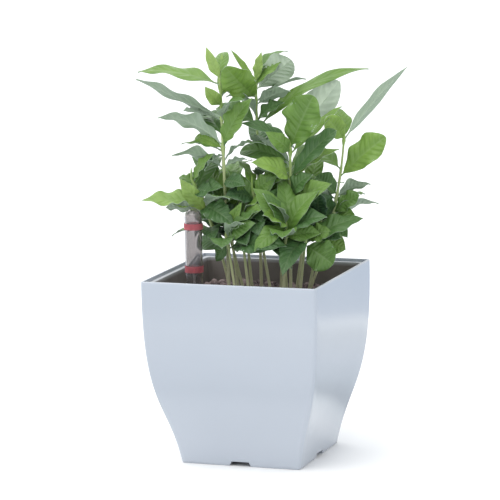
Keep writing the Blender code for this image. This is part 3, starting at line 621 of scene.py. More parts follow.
def grow_pot(finish):
    mouth = liner_half(LINER_TOP)
    inner_corner = LINER_CORNER - LINER_WALL
    rings = [
        (LINER_BASE - 2 * MM, LINER_CORNER - 2 * MM, LINER_UNDER),
        (LINER_BASE - 0.6 * MM, LINER_CORNER - 0.6 * MM, LINER_UNDER + 0.6 * MM),
        (LINER_BASE, LINER_CORNER, LINER_UNDER + 2 * MM),
        (liner_half(FLANGE_LOW, False), LINER_CORNER, FLANGE_LOW),
        (LINER_FLANGE - 0.1 * MM, FLANGE_CORNER, FLANGE_LOW),
        (LINER_FLANGE, FLANGE_CORNER, FLANGE_LOW + 0.2 * MM),
        (LINER_FLANGE, FLANGE_CORNER, LINER_TOP - 0.5 * MM),
        (LINER_FLANGE - 0.15 * MM, FLANGE_CORNER, LINER_TOP - 0.15 * MM),
        (LINER_FLANGE - 0.5 * MM, FLANGE_CORNER, LINER_TOP),
        (mouth + 0.7 * MM, inner_corner + 1 * MM, LINER_TOP),
        (mouth + 0.1 * MM, inner_corner, LINER_TOP - 0.3 * MM),
        (liner_half(LINER_TOP - 1 * MM), inner_corner, LINER_TOP - 1 * MM),
        (liner_half(LINER_FLOOR), inner_corner, LINER_FLOOR),
    ]
    pot = add_object("grow_pot_shell", skin([square_ring(*ring) for ring in rings]), finish)
    gauge = middle_of("gauge_sleeve")
    low, high = LINER_UNDER - CUT_SPARE, LINER_FLOOR + CUT_SPARE
    cutters = [hole_cutter("gauge_hole", GAUGE_HOLE, gauge.x, gauge.y, low, high)]
    for number in range(1, 5):
        cup = middle_of(f"wick_cup_{number}")
        cutters.append(hole_cutter(f"cup_hole_{number}", CUP_TOP_RADIUS + GAP, cup.x, cup.y, low, high))
    finish_mesh(pot, cutters)
    piece(pot, "grow_pot", "liner_brown", "grow_pot")


def wick_cup(number, finish):
    low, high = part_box(f"wick_cup_{number}")
    place = ((low.x + high.x) / 2, (low.y + high.y) / 2, 0)
    flange_low = high.z - CUP_FLANGE_THICKNESS
    profile = (
        (0, low.z),
        (CUP_BASE_RADIUS - CUP_ROUND, low.z),
        (CUP_BASE_RADIUS, low.z + CUP_ROUND),
        (CUP_TOP_RADIUS, LINER_UNDER),
        (CUP_TOP_RADIUS, flange_low),
        (CUP_FLANGE, flange_low),
        (CUP_FLANGE, high.z - CUP_ROUND),
        (CUP_FLANGE - CUP_ROUND, high.z),
        (CUP_TOP_RADIUS - CUP_WALL, high.z),
        (CUP_BASE_RADIUS - CUP_WALL, low.z + CUP_FLOOR),
        (0, low.z + CUP_FLOOR),
    )
    cup = add_object(f"wick_cup_shell_{number}", turned(profile), finish, location=place)
    slots = cross_prism(CUP_SLOT, CUP_SLOT_REACH, CUP_SLOT_LOW, CUP_SLOT_HIGH)
    finish_mesh(cup, [add_object("cup_slots", slots, location=place)])
    piece(cup, "grow_pot", "liner_brown", f"wick_cup_{number}")


def wick_core(number, felt):
    """A felt plug that fills its cup, with a faintly rippled side."""
    low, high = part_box(f"wick_core_{number}")
    middle = middle_of(f"wick_cup_{number}")
    base, top = CUP_BASE_RADIUS - CUP_WALL - GAP, (high.x - low.x) / 2
    profile = [(0, low.z)]
    for step in range(CORE_STEPS + 1):
        share = step / CORE_STEPS
        ripple = CORE_RIPPLE * (math.sin(step * RIPPLE_TURN) - 1)
        profile.append((base + (top - base) * share + ripple, low.z + (high.z - low.z) * share))
    profile.append((0, high.z))
    core = add_object(f"wick_{number}", turned(profile), felt, location=(middle.x, middle.y, 0))
    piece(core, "grow_pot", "wick_felt", f"wick_core_{number}")


def stone(mesh, tone, place, radius, random):
    """One rounded, lumpy stone, added to mesh, with its shade in the tone layer."""
    made = bmesh.ops.create_icosphere(mesh, subdivisions=2, radius=1)["verts"]
    stretch = Vector(random.uniform(0.78, 1.15, 3))
    lumps = [Vector(random.normal(0, 1, 3)).normalized() for _ in range(4)]
    spin = Matrix.Rotation(random.uniform(0, math.tau), 3, Vector(random.normal(0, 1, 3)).normalized())
    shade = random.uniform()
    for vert in made:
        flat = sum(max(vert.co.dot(lump) - 0.6, 0) for lump in lumps)
        point = Vector(a * b for a, b in zip(vert.co * (1 - 0.3 * flat), stretch))
        vert.co = place + spin @ point * radius
        vert[tone] = shade


def pebbles():
    """Two rough layers of fired clay stones on the soil, clear of the gauge."""
    random = np.random.default_rng(PEBBLE_SEED)
    mesh = bmesh.new()
    tone = mesh.verts.layers.float.new("tone")
    gauge = middle_of("gauge_sleeve")
    low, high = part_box("pebble_layer")
    reach = high.x - PEBBLE_RADIUS[1]
    for layer, spacing in enumerate(PEBBLE_SPACINGS, 1):
        count = int(2 * reach / spacing)
        for row, column in itertools.product(range(count + 1), repeat=2):
            x = -reach + 2 * reach * (column + 0.5 * (row % 2)) / count
            y = -reach + 2 * reach * row / count
            radius = random.uniform(*PEBBLE_RADIUS)
            x += random.uniform(-1, 1) * PEBBLE_SHIFT
            y += random.uniform(-1, 1) * PEBBLE_SHIFT
            z = low.z + layer * PEBBLE_RISE + random.uniform(-1, 1) * PEBBLE_HOP
            away = math.hypot(x - gauge.x, y - gauge.y)
            if max(abs(x), abs(y)) < reach and away > GAUGE_HOLE + radius:
                stone(mesh, tone, Vector((x, y, z)), radius, random)
    stones = add_object("clay_pebbles", mesh, pebble_material(), sharp=60)
    piece(stones, "grow_pot", "clay_pebbles", "pebble_layer")


def soil_block(finish):
    """The CAD block stays: a fine crumbly material is all that it needs under the stones."""
    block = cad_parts["soil"]
    block.data.materials.clear()
    block.data.materials.append(finish)


# ---------------------------------------------------------------- drain plug and float gauge

PLUG_HEAD_RADIUS, PLUG_HEAD_HEIGHT, PLUG_ROUND = 10 * MM, 3 * MM, 0.8 * MM
# The grip's half widths at its foot, at its widest place and at its top.
GRIP_FOOT, GRIP_WIDEST, GRIP_TOP = 4 * MM, 5 * MM, 3.5 * MM
GRIP_RISE, GRIP_WIDEST_HEIGHT, GRIP_HALF, GRIP_ROUND = 2 * MM, 18 * MM, 1.5 * MM, 0.6 * MM
GAUGE_HOLE = 10.4 * MM
TUBE_WALL, BAND_THICKNESS, BAND_ROUND = 1.5 * MM, 0.6 * MM, 0.25 * MM
SLEEVE_OUTER, SLEEVE_INNER, SLEEVE_INLET = 10 * MM, 8.6 * MM, 6.5 * MM
SLEEVE_FLOOR = 2 * MM
SLEEVE_SLOT, SLEEVE_SLOT_REACH, SLEEVE_SLOT_HIGH = 4 * MM, 15 * MM, 26 * MM
SPIGOT_OUTER, SPIGOT_INNER, SPIGOT_LENGTH = 7.6 * MM, 6.2 * MM, 8 * MM
ROD_RADIUS, ROD_HOLE, ROD_DEPTH = 1.5 * MM, 1.9 * MM, 8 * MM
FLOAT_ROUND = 1.2 * MM


def rounded(profile, radius, steps=4):
    """The profile with each inner corner replaced by a small arc-like run of points."""
    points = [Vector(p) for p in profile]
    made = [points[0]]
    for before, corner, after in zip(points, points[1:], points[2:]):
        cut = min(radius, (corner - before).length / 2.2, (after - corner).length / 2.2)
        start = corner + (before - corner).normalized() * cut
        end = corner + (after - corner).normalized() * cut
        for step in range(steps + 1):
            t = step / steps
            made.append(start * (1 - t) ** 2 + corner * 2 * t * (1 - t) + end * t * t)
    made.append(points[-1])
    return [(max(p.x, 0), p.y) for p in made]


def drain_plug():
    low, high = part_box("drain_plug")
    head_low = FLOOR_TOP + GAP
    head_high = head_low + PLUG_HEAD_HEIGHT
    bung = DRAIN_RADIUS - GAP
    profile = (
        (0, low.z),
        (DRAIN_RADIUS - 1 * MM, low.z),
        (bung, head_low - 2 * MM),
        (bung, head_low),
        (PLUG_HEAD_RADIUS, head_low),
        (PLUG_HEAD_RADIUS, head_high),
        (0, head_high),
    )
    rubber = plastic_material("dark_rubber", (0.03, 0.03, 0.034), 0.62, 300.0)
    plug = add_object("drain_bung", turned(rounded(profile, PLUG_ROUND)), rubber)
    foot = head_low + GRIP_RISE
    corners = ((GRIP_FOOT, foot), (GRIP_WIDEST, GRIP_WIDEST_HEIGHT), (GRIP_TOP, high.z))
    outline = rounded(((0, foot), *corners, (0, high.z)), 1 * MM)
    outline += [(-x, z) for x, z in outline[::-1] if x > 0]
    mesh = skin([[(x, y, z) for x, z in outline] for y in (-GRIP_HALF, GRIP_HALF)])
    grip = add_object("drain_grip", mesh, rubber)
    finish_mesh(grip, bevel=GRIP_ROUND, segments=3)
    piece(plug, "drain_plug", "rubber_dark", "drain_plug")
    piece(grip, "drain_plug", "rubber_dark")


def gauge_turned(name, node, body, slot, finish, profile, radius, loop=False, cutters=()):
    """A turned piece on the gauge's axis, in the place of a CAD node. Its corners are rounded."""
    middle = middle_of(node)
    points = [profile[-1], *profile, profile[0]] if loop else profile
    outline = rounded(points, radius)
    mesh = turned(outline[1:-1] if loop else outline, loop=loop)
    obj = add_object(name, mesh, finish, location=(middle.x, middle.y, 0))
    if cutters:
        finish_mesh(obj, cutters)
    piece(obj, body, slot, node)


def half_of(node):
    low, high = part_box(node)
    return (high.x - low.x) / 2


def sight_tube():
    """A clear tube with a hemispherical top, open below."""
    low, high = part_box("gauge_tube")
    middle = middle_of("gauge_tube")
    outer = half_of("gauge_tube")
    spring_line = high.z - outer
    profile = [(outer, low.z)]
    sides = []
    for radius in (outer, outer - TUBE_WALL):
        arc = [math.radians(a) for a in range(0, 90, 9)]
        dome = [(radius * math.cos(a), spring_line + radius * math.sin(a)) for a in arc]
        sides.append(dome + [(0, spring_line + radius)])
    profile += sides[0] + sides[1][::-1] + [(outer - TUBE_WALL, low.z)]
    mesh = turned(profile, 96, loop=True)
    tube = add_object("sight_tube", mesh, clear_material(), location=(middle.x, middle.y, 0), sharp=50)
    piece(tube, "gauge", "clear_tube", "gauge_tube")


def bands():
    red = film_material()
    for name, node in (("max_band", "max_ring"), ("min_band", "min_ring")):
        low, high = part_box(node)
        outer = half_of(node)
        inner = outer - BAND_THICKNESS
        profile = ((inner, low.z), (outer, low.z), (outer, high.z), (inner, high.z))
        gauge_turned(name, node, "gauge", "red_band", red, profile, BAND_ROUND, loop=True)


def float_guide(finish):
    """The slotted sleeve under the tube, whose spigot goes up into the tube."""
    low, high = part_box("gauge_sleeve")
    middle = middle_of("gauge_tube")
    top = high.z - SPIGOT_LENGTH
    profile = (
        (SLEEVE_INLET, low.z),
        (SLEEVE_OUTER, low.z),
        (SLEEVE_OUTER, top),
        (SPIGOT_OUTER, top),
        (SPIGOT_OUTER, high.z),
        (SPIGOT_INNER, high.z),
        (SPIGOT_INNER, top - 3 * MM),
        (SLEEVE_INNER, top - 6 * MM),
        (SLEEVE_INNER, low.z + SLEEVE_FLOOR),
        (SLEEVE_INLET, low.z + SLEEVE_FLOOR),
    )
    slots = cross_prism(SLEEVE_SLOT, SLEEVE_SLOT_REACH, FLOOR_TOP - 2 * MM, SLEEVE_SLOT_HIGH)
    cutter = add_object("sleeve_slots", slots, location=(middle.x, middle.y, 0))
    gauge_turned(
        "float_guide", "gauge_sleeve", "gauge", "liner_brown", finish,
        profile, 0.3 * MM, loop=True, cutters=[cutter],
    )


def float_and_pointer():
    foam = plastic_material("float_foam", (0.78, 0.76, 0.70), 0.85, 900.0)
    low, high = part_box("float")
    outer = half_of("float")
    seat = high.z - ROD_DEPTH
    profile = ((0, low.z), (outer, low.z), (outer, high.z), (ROD_HOLE, high.z), (ROD_HOLE, seat), (0, seat))
    gauge_turned("float_block", "float", "float", "float_foam", foam, profile, FLOAT_ROUND)
    white = plastic_material("rod_white", (0.72, 0.72, 0.72), 0.4)
    low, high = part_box("float_rod")
    profile = ((0, low.z), (ROD_RADIUS, low.z), (ROD_RADIUS, high.z), (0, high.z))
    gauge_turned("rod", "float_rod", "float", "rod_white", white, profile, 0.2 * MM)
    red = plastic_material("pointer_red", (0.45, 0.03, 0.04), 0.4)
    low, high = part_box("pointer")
    outer = half_of("pointer")
    seat = middle_of("pointer").z
    profile = ((0, seat), (ROD_HOLE, seat), (ROD_HOLE, low.z), (outer, low.z), (outer, high.z), (0, high.z))
    gauge_turned("red_pointer", "pointer", "float", "pointer_red", red, profile, FLOAT_ROUND)


# ---------------------------------------------------------------- seedlings, in millimetres

# How fast a blade's width grows from the stalk, and falls to the tip.
POINTED, ROUND = (0.8, 1.0), (0.85, 0.55)
# Seedlings: foot (x, y), crown (x, y, z), bend of the stem, then each leaf that is listed one by one:
# height of its joint on the stem, tip (x, y, z), width, turn in degrees, arch, tone, and ROUND where
# the leaf isn't pointed. Turn is how far the upper face leans from the sky (0) to the front (90);
# arch is the rise of the midrib's middle, as a share of the leaf's length; tone is 0 for an old, dark
# leaf in painted shade and 1 for a young, well lit one, so it holds age and painted shade alike. The last
# pair is how many more leaves grow by rule, and from what height.
SEEDLINGS = {
    "seedling_left_tall": ((-27, -18), (-31, -24, 423), 0.45, (
        (414, (-139, 6, 425), 25, 22, 0.05, 0.75), (379, (-126, -28, 420), 24, -36, -0.02, 0.3),
        (347, (-89, -58, 381), 30, -42, 0.12, 0.35), (376, (-82, -2, 382), 24, -30, 0.02, 0.4),
        (419, (-41, -38, 455), 12, 62, 0.04, 1.0), (346, (7, -29, 400), 25, 58, 0.1, 0.6),
        (390, (-40, -46, 413), 15, 66, 0.04, 1.0), (394, (-34, -7, 447), 8, 60, 0.02, 0.9),
        (344, (-4, -28, 375), 7, 50, 0.08, 0.35), (343, (-63, -17, 355), 20, 40, 0.12, 0.75, ROUND),
        (341, (-73, -34, 351), 14, 8, 0.06, 0.4), (321, (-82, -41, 338), 30, -34, 0.14, 0.4),
        (337, (-46, -40, 322), 22, -30, 0.08, 0.3), (323, (-4, -17, 332), 12, -30, 0.08, 0.4),
        (308, (0, -37, 306), 20, 50, 0.08, 0.2), (299, (-62, 5, 308), 24, 40, 0.1, 0.5),
        (399, (-25, 23, 418), 14, 30, 0.08, 0.5), (357, (-69, 29, 374), 22, 30, 0.12, 0.25),
    ), (4, 285)),
    "seedling_back_tall": ((-6, 30), (-6, 23, 412), 0.5, (
        (410, (20, 55, 444), 16, 14, 0.22, 0.45), (410, (-33, 20, 447), 7, 45, 0.06, 0.7),
        (412, (2, 20, 445), 11, 72, 0.03, 1.0), (403, (35, 25, 437), 34, -62, 0.06, 1.0, ROUND),
        (394, (-28, -26, 432), 36, 74, 0.06, 0.8, ROUND), (391, (39, 61, 413), 24, -24, 0.08, 0.5),
        (387, (39, 8, 405), 20, -40, 0.08, 0.35), (369, (26, 20, 391), 20, 40, 0.08, 0.3),
        (360, (104, 84, 425), 20, 34, 0.12, 0.65), (366, (-59, 38, 380), 28, 40, 0.12, 0.3),
        (338, (14, -16, 355), 24, -30, 0.1, 0.3), (336, (20, 81, 331), 28, 40, 0.12, 0.4),
    ), (5, 270)),
    "seedling_right_tall": ((38, 1), (40, 1, 342), 0.5, (
        (342, (72, -15, 402), 42, 78, 0.03, 0.6, ROUND), (342, (78, 59, 410), 36, -62, 0.05, 0.9, ROUND),
        (336, (88, 36, 386), 15, 40, 0.03, 0.6), (309, (91, 5, 363), 25, 50, 0.06, 0.2, ROUND),
        (336, (-7, -24, 373), 20, 30, 0.16, 0.15), (327, (-19, 4, 338), 26, 40, 0.12, 0.35, ROUND),
        (307, (10, -39, 332), 26, 48, 0.14, 0.8), (307, (89, 21, 341), 16, 30, 0.1, 0.8),
        (278, (88, -6, 306), 26, 58, 0.1, 0.6), (322, (9, -2, 351), 30, -45, 0.08, 0.3, ROUND),
        (318, (59, 79, 342), 18, -20, 0.1, 0.5), (273, (21, -35, 296), 24, 50, 0.14, 0.2),
        (291, (66, -3, 315), 24, 50, 0.12, 0.3),
    ), (3, 255)),
    "seedling_right": ((51, 26), (89, 42, 352), 0.85, (
        (348, (142, 103, 423), 15, -52, 0.035, 0.6), (348, (74, 21, 375), 24, 58, 0.06, 0.8, ROUND),
        (307, (136, 43, 352), 34, 60, 0.04, 0.75, ROUND), (285, (117, 47, 299), 26, -34, 0.12, 0.5),
        (280, (104, 68, 286), 18, 12, 0.06, 0.4), (265, (128, 40, 280), 28, -24, 0.08, 0.5),
        (267, (110, 26, 289), 22, 55, 0.06, 0.35, ROUND), (262, (105, 18, 260), 26, 44, 0.12, 0.5, ROUND),
        (253, (97, 24, 243), 20, 30, 0.12, 0.3), (265, (66, 7, 292), 22, 55, 0.08, 0.15),
        (287, (61, 27, 308), 26, 55, 0.1, 0.2, ROUND),
    ), (4, 250)),
    "seedling_left": ((-30, -5), (-65, -28, 310), 0.25, (
        (280, (-120, -37, 286), 26, 34, 0.05, 0.85), (271, (-67, -50, 312), 19, 72, 0.04, 0.85),
        (272, (-90, -42, 280), 26, -36, 0.02, 0.5, ROUND), (253, (-105, 11, 240), 16, 16, 0.06, 0.5),
        (303, (-55, -25, 326), 9, 50, 0.04, 0.5), (303, (-83, -18, 310), 14, 30, 0.1, 0.4),
        (292, (-27, -36, 303), 24, 45, 0.1, 0.3), (279, (-23, -61, 265), 28, 50, 0.12, 0.15),
        (298, (-43, -47, 295), 20, 55, 0.1, 0.25), (255, (-42, -52, 247), 22, 48, 0.12, 0.2),
    ), (8, 240)),
    "seedling_front_left": ((-12, -36), (-23, -38, 259), 0.5, (
        (246, (-39, -61, 242), 28, 50, 0.12, 0.35), (248, (13, -54, 267), 26, 60, 0.16, 0.45),
        (250, (-4, -44, 287), 13, 70, 0.05, 0.75), (241, (-36, -34, 220), 16, 60, 0.08, 0.25),
    ), (8, 236)),
    "seedling_front_middle": ((-2, -22), (-9, -31, 274), 0.5, (
        (265, (24, -43, 284), 20, 44, 0.08, 0.7), (261, (-42, -41, 270), 26, 45, 0.12, 0.25),
        (247, (33, -50, 239), 32, 58, 0.08, 0.2), (254, (-12, -62, 244), 24, 55, 0.1, 0.2),
    ), (9, 236)),
    "seedling_front_right": ((36, -19), (43, -25, 266), 0.5, (
        (264, (20, -67, 239), 22, 56, 0.06, 0.5), (259, (27, -54, 277), 30, 42, 0.12, 0.6),
        (259, (88, -22, 272), 26, 44, 0.1, 0.3), (248, (80, -20, 253), 22, 50, 0.1, 0.4),
    ), (8, 240)),
    "seedling_right_low": ((52, 20), (68, 24, 271), 0.6, (
        (239, (95, 23, 229), 34, 52, 0.06, 0.6), (260, (71, 4, 296), 24, 60, 0.06, 0.1, ROUND),
        (248, (96, 7, 259), 24, 45, 0.12, 0.4), (266, (80, 33, 310), 30, 60, 0.08, 0.25, ROUND),
        (242, (93, 11, 244), 20, 40, 0.1, 0.3),
    ), (9, 240)),
    "seedling_right_front": ((52, -11), (63, -16, 257), 0.5, (
        (239, (93, -18, 219), 36, 62, 0.08, 0.5, ROUND), (245, (89, -9, 254), 24, 48, 0.14, 0.6),
        (250, (60, -27, 278), 20, 60, 0.08, 0.15),
    ), (7, 240)),
    "seedling_middle": ((16, -1), (0, -13, 301), 0.5, (
        (287, (-21, -39, 295), 28, 45, 0.12, 0.15), (292, (27, -12, 313), 24, 50, 0.1, 0.5),
        (272, (-1, -53, 254), 28, 55, 0.12, 0.15), (281, (20, -41, 268), 24, 52, 0.1, 0.2),
    ), (12, 240)),
    "seedling_middle_right": ((30, 13), (25, 0, 291), 0.5, (
        (279, (9, -39, 276), 26, 45, 0.14, 0.3), (273, (59, -27, 263), 28, 48, 0.12, 0.2),
        (282, (45, 5, 302), 22, 50, 0.1, 0.35),
    ), (12, 240)),
    "seedling_middle_left": ((-16, 1), (-35, -15, 280), 0.5, (
        (264, (-54, -40, 274), 26, 40, 0.12, 0.2), (259, (-8, -35, 246), 26, 50, 0.12, 0.3),
        (271, (-17, -6, 304), 22, 50, 0.1, 0.4),
    ), (13, 240)),
    "seedling_inner": ((-9, 8), (-15, 1, 280), 0.5, (
        (269, (-48, -6, 278), 26, 40, 0.12, 0.3), (271, (9, 14, 295), 22, 45, 0.1, 0.25),
    ), (12, 240)),
    "seedling_back_right": ((16, 32), (22, 38, 297), 0.5, (
        (285, (52, 40, 304), 26, 45, 0.12, 0.35),
    ), (13, 244)),
    "seedling_back_left": ((-30, 21), (-48, 34, 293), 0.5, (), (12, 240)),
    "seedling_back_far": ((29, 50), (42, 64, 291), 0.5, (), (12, 240)),
}
STEM_FOOT_RADIUS, STEM_TOP_RADIUS = 1.85, 1.1
STEM_BUD = 3
PLACING_SEED, LEAF_SEED = 11, 23
CLEAR_COLUMN, COLUMN_ENDS = 12.5, (170, 500)  # what stays free of leaves above the gauge
GAUGE_CORNER = -70  # a leaf by rule whose tip would lie at x + y below this turns the other way
RIGHT_REACH = 84  # and so does one whose tip would lie further to the right than this
BACK_REACH = 104  # no leaf goes further back than this
RULE_LENGTH, RULE_LENGTH_LOSS = 66, 18  # lowest leaf by rule, and how much shorter the highest is
RULE_RISE, RULE_RISE_GAIN = 2, 42  # degrees above level, in the same way
RULE_WIDTH = 0.44  # width of a leaf by rule, as a share of its length
# A rule leaf's tone holds its age and painted shade: the low leaves are older and darker, in painted shade.
RULE_TONE, RULE_TONE_GAIN = 0.2, 0.4
PAINTED_LIGHT_TO_THE_RIGHT = 0.002  # painted light: a rule leaf's tone rises for each millimetre of x, paler towards the right where more light reaches
GOLDEN_TURN = 137.5
# Degrees by which a leaf is turned sideways and up until it fits, tried in this order.
HEADINGS = (0, 7, -7, 14, -14, 21, -21, 28, -28, 36, -36, 45, -45)
RISES = HEADINGS[:9]
LEAF_FOLD = 0.14
LEAF_HALF_WIDTHS = ((0.0, 0.05), (0.09, 0.07), (0.28, 0.78), (0.5, 1.0), (0.75, 0.66), (1.0, 0.0))
LEAST_HALF_WIDTH, LEAF_THICKNESS = 0.7, 0.9
PETIOLE = 0.09
ALONG, ACROSS = 45, 12  # quads on a leaf
VEINS, VEIN_SWEEP = 9, 0.2
BLADE_THICKNESS, STALK_THICKNESS, RIB_THICKNESS = 0.35, 1.5, 0.9
STALK_HALF_WIDTH, TIP_HALF_WIDTH = 0.55, 0.12
GROUND = PEBBLE_TOP / MM + 0.3


def stem_point(foot, crown, bend, z):
    """The stem's middle at a height: at a bend of 0 it leaves the soil upright and then leans over."""
    t = (z - GROUND) / (crown[2] - GROUND)
    sideways = 2 * bend * t * (1 - t) + t * t
    x, y = (start + (end - start) * sideways for start, end in zip(foot, crown))
    return Vector((x, y, z))


def blade_frame(base, tip, turn):
    """The leaf's direction, its side and its upper face's normal."""
    ahead = (tip - base).normalized()
    face = Vector((0, -math.sin(math.radians(turn)), math.cos(math.radians(turn))))
    side = ahead.cross(face).normalized()
    return ahead, side, side.cross(ahead)


def midrib_point(base, tip, normal, arch, u):
    length = (tip - base).length
    return base.lerp(tip, u) + normal * (4 * arch * length * u * (1 - u))


def rough_leaf(base, tip, width, turn, arch):
    """The leaf's plain cross-sections, which are enough to tell whether it meets another leaf."""
    side, normal = blade_frame(base, tip, turn)[1:]
    rings = []
    for u, share in LEAF_HALF_WIDTHS:
        middle = midrib_point(base, tip, normal, arch, u)
        if share == 0:
            rings.append([middle])
            continue
        half = max(share * width / 2, LEAST_HALF_WIDTH)
        thick = LEAF_THICKNESS * (1.1 - 0.6 * u)
        edge = normal * (half * LEAF_FOLD)
        left, right = middle - side * half + edge, middle + side * half + edge
        rings.append([left, middle - normal * thick, right, middle + normal * thick])
    return rings


def rough_stem(foot, crown, bend, sides=6, steps=6):
    rings = []
    for step in range(steps + 1):
        share = step / steps
        radius = STEM_FOOT_RADIUS + share * (STEM_TOP_RADIUS - STEM_FOOT_RADIUS)
        middle = stem_point(foot, crown, bend, GROUND + share * (crown[2] - GROUND))
        rings.append([middle + Vector(p) for p in round_ring(radius, 0, sides)])
    rings.append([Vector(crown) + Vector((0, 0, STEM_BUD))])
    return rings


def tree_of(rings):
    mesh = skin(rings)
    tree = BVHTree.FromBMesh(mesh)
    mesh.free()
    return tree


def turned_tip(base, tip, heading, rise):
    """The tip after the leaf swings sideways by heading and up by rise, in degrees, about its joint."""
    ahead = tip - base
    level = Vector((ahead.y, -ahead.x, 0)).normalized()
    raised = Matrix.Rotation(math.radians(rise), 3, level) @ ahead
    return base + Matrix.Rotation(math.radians(heading), 3, "Z") @ raised


def rule_leaves(foot, crown, bend, count, lowest, random):
    """Leaves in a spiral up the stem, long and level below, short and steep above."""
    leaves = []
    start = random.uniform(0, 360)
    for i in range(count):
        share = i / max(count - 1, 1)
        z = lowest + share * (crown[2] - 4 - lowest)
        heading = math.radians(start + i * GOLDEN_TURN)
        rise = math.radians(RULE_RISE + RULE_RISE_GAIN * share + random.uniform(-8, 8))
        length = (RULE_LENGTH - RULE_LENGTH_LOSS * share) * random.uniform(0.85, 1.15)
        base = stem_point(foot, crown, bend, z)
        reach = length * math.cos(rise)
        out = Vector((reach * math.cos(heading), reach * math.sin(heading), 0))
        end = base + out
        if end.x + end.y < GAUGE_CORNER or end.x > RIGHT_REACH or end.y > BACK_REACH:
            out = -out
        tip = base + out + Vector((0, 0, length * math.sin(rise)))
        turn, arch = random.uniform(-15, 60), random.uniform(0.08, 0.18)
        # Painted light and shade in the tone: darker low down, paler towards the right.
        tone = RULE_TONE + RULE_TONE_GAIN * share + PAINTED_LIGHT_TO_THE_RIGHT * tip.x
        leaves.append((z, tip, length * RULE_WIDTH, turn, arch, tone))
    return leaves


def place_leaves():
    """Each seedling's leaves as (base, tip, width, turn, arch, tone, shape), every leaf turned about
    its joint until it clears the other seedlings and the gauge's way out, as the CAD leaves are."""
    random = np.random.default_rng(PLACING_SEED)
    axis = middle_of("gauge_tube") / MM
    circle = [(axis.x + x, axis.y + y) for x, y, z in round_ring(CLEAR_COLUMN, 0, 12)]
    column = [[(x, y, z) for x, y in circle] for z in COLUMN_ENDS]
    taken = [(None, tree_of(column))]
    for name, plant in SEEDLINGS.items():
        taken.append((name, tree_of(rough_stem(*plant[:3]))))
    placed = {name: [] for name in SEEDLINGS}
    listed = [(name, leaf) for name, plant in SEEDLINGS.items() for leaf in plant[3]]
    for name, plant in SEEDLINGS.items():
        listed += [(name, leaf) for leaf in rule_leaves(*plant[:3], *plant[4], random)]
    for name, (z, tip, width, turn, arch, tone, *marked) in listed:
        shape = marked[0] if marked else POINTED
        base = stem_point(*SEEDLINGS[name][:3], z)
        others = [tree for owner, tree in taken if owner != name]
        for rise, heading in itertools.product(RISES, HEADINGS):
            end = turned_tip(base, Vector(tip), heading, rise)
            rings = rough_leaf(base, end, width, turn, arch)
            tree = tree_of(rings)
            fits = max(point.y for ring in rings for point in ring) < BACK_REACH
            if fits and not any(tree.overlap(other) for other in others):
                placed[name].append((base, end, width, turn, arch, tone, shape))
                taken.append((name, tree))
                break
    return placed


class Shells:
    """Closed shells gathered into one mesh, with values at each point for the materials to read."""

    def __init__(self):
        self.points, self.faces, self.finishes = [], [], []
        self.values = {"along": [], "across": [], "tone": []}

    def add(self, points, faces, finishes, along, across, tone):
        first = len(self.points)
        self.points += points
        self.faces += [tuple(first + i for i in face) for face in faces]
        self.finishes += finishes
        for name, numbers in (("along", along), ("across", across), ("tone", tone)):
            self.values[name] += numbers

    def object(self, name, *finishes):
        data = bpy.data.meshes.new(name)
        data.from_pydata([tuple(p * MM for p in point) for point in self.points], [], self.faces)
        for finish in finishes:
            data.materials.append(finish)
        data.polygons.foreach_set("material_index", self.finishes)
        for attribute, numbers in self.values.items():
            data.attributes.new(attribute, "FLOAT", "POINT").data.foreach_set("value", numbers)
        data.shade_smooth()
        data.set_sharp_from_angle(angle=math.radians(60))
        obj = bpy.data.objects.new(name, data)
        bpy.context.scene.collection.objects.link(obj)
        return obj


def leaf_width(shape, u):
    """Half the blade's width at a place along the leaf, as a share of its widest half."""
    if u <= PETIOLE:
        return 0.0
    grow, fall = shape
    s = (u - PETIOLE) / (1 - PETIOLE)
    widest = grow / (grow + fall)
    return s**grow * (1 - s) ** fall / (widest**grow * (1 - widest) ** fall)


def blade_faces(count):
    """A leaf's upper faces, lower faces and rim, with the material of each. Its lower points follow
    its count upper points."""
    wide = ACROSS + 1
    faces, finishes = [], []
    for row, column in itertools.product(range(ALONG), range(ACROSS)):
        a = row * wide + column
        quad = (a, a + 1, a + wide + 1, a + wide)
        faces += [quad, tuple(count + i for i in quad[::-1])]
        finishes += [0, 1]
    rim = [*range(ACROSS), *range(ACROSS, count, wide)]
    rim += [*range(count - 2, ALONG * wide, -1), *range(ALONG * wide, 0, -wide)]
    for a, b in zip(rim, rim[1:] + rim[:1]):
        faces.append((b, a, count + a, count + b))
        finishes.append(1)
    return faces, finishes


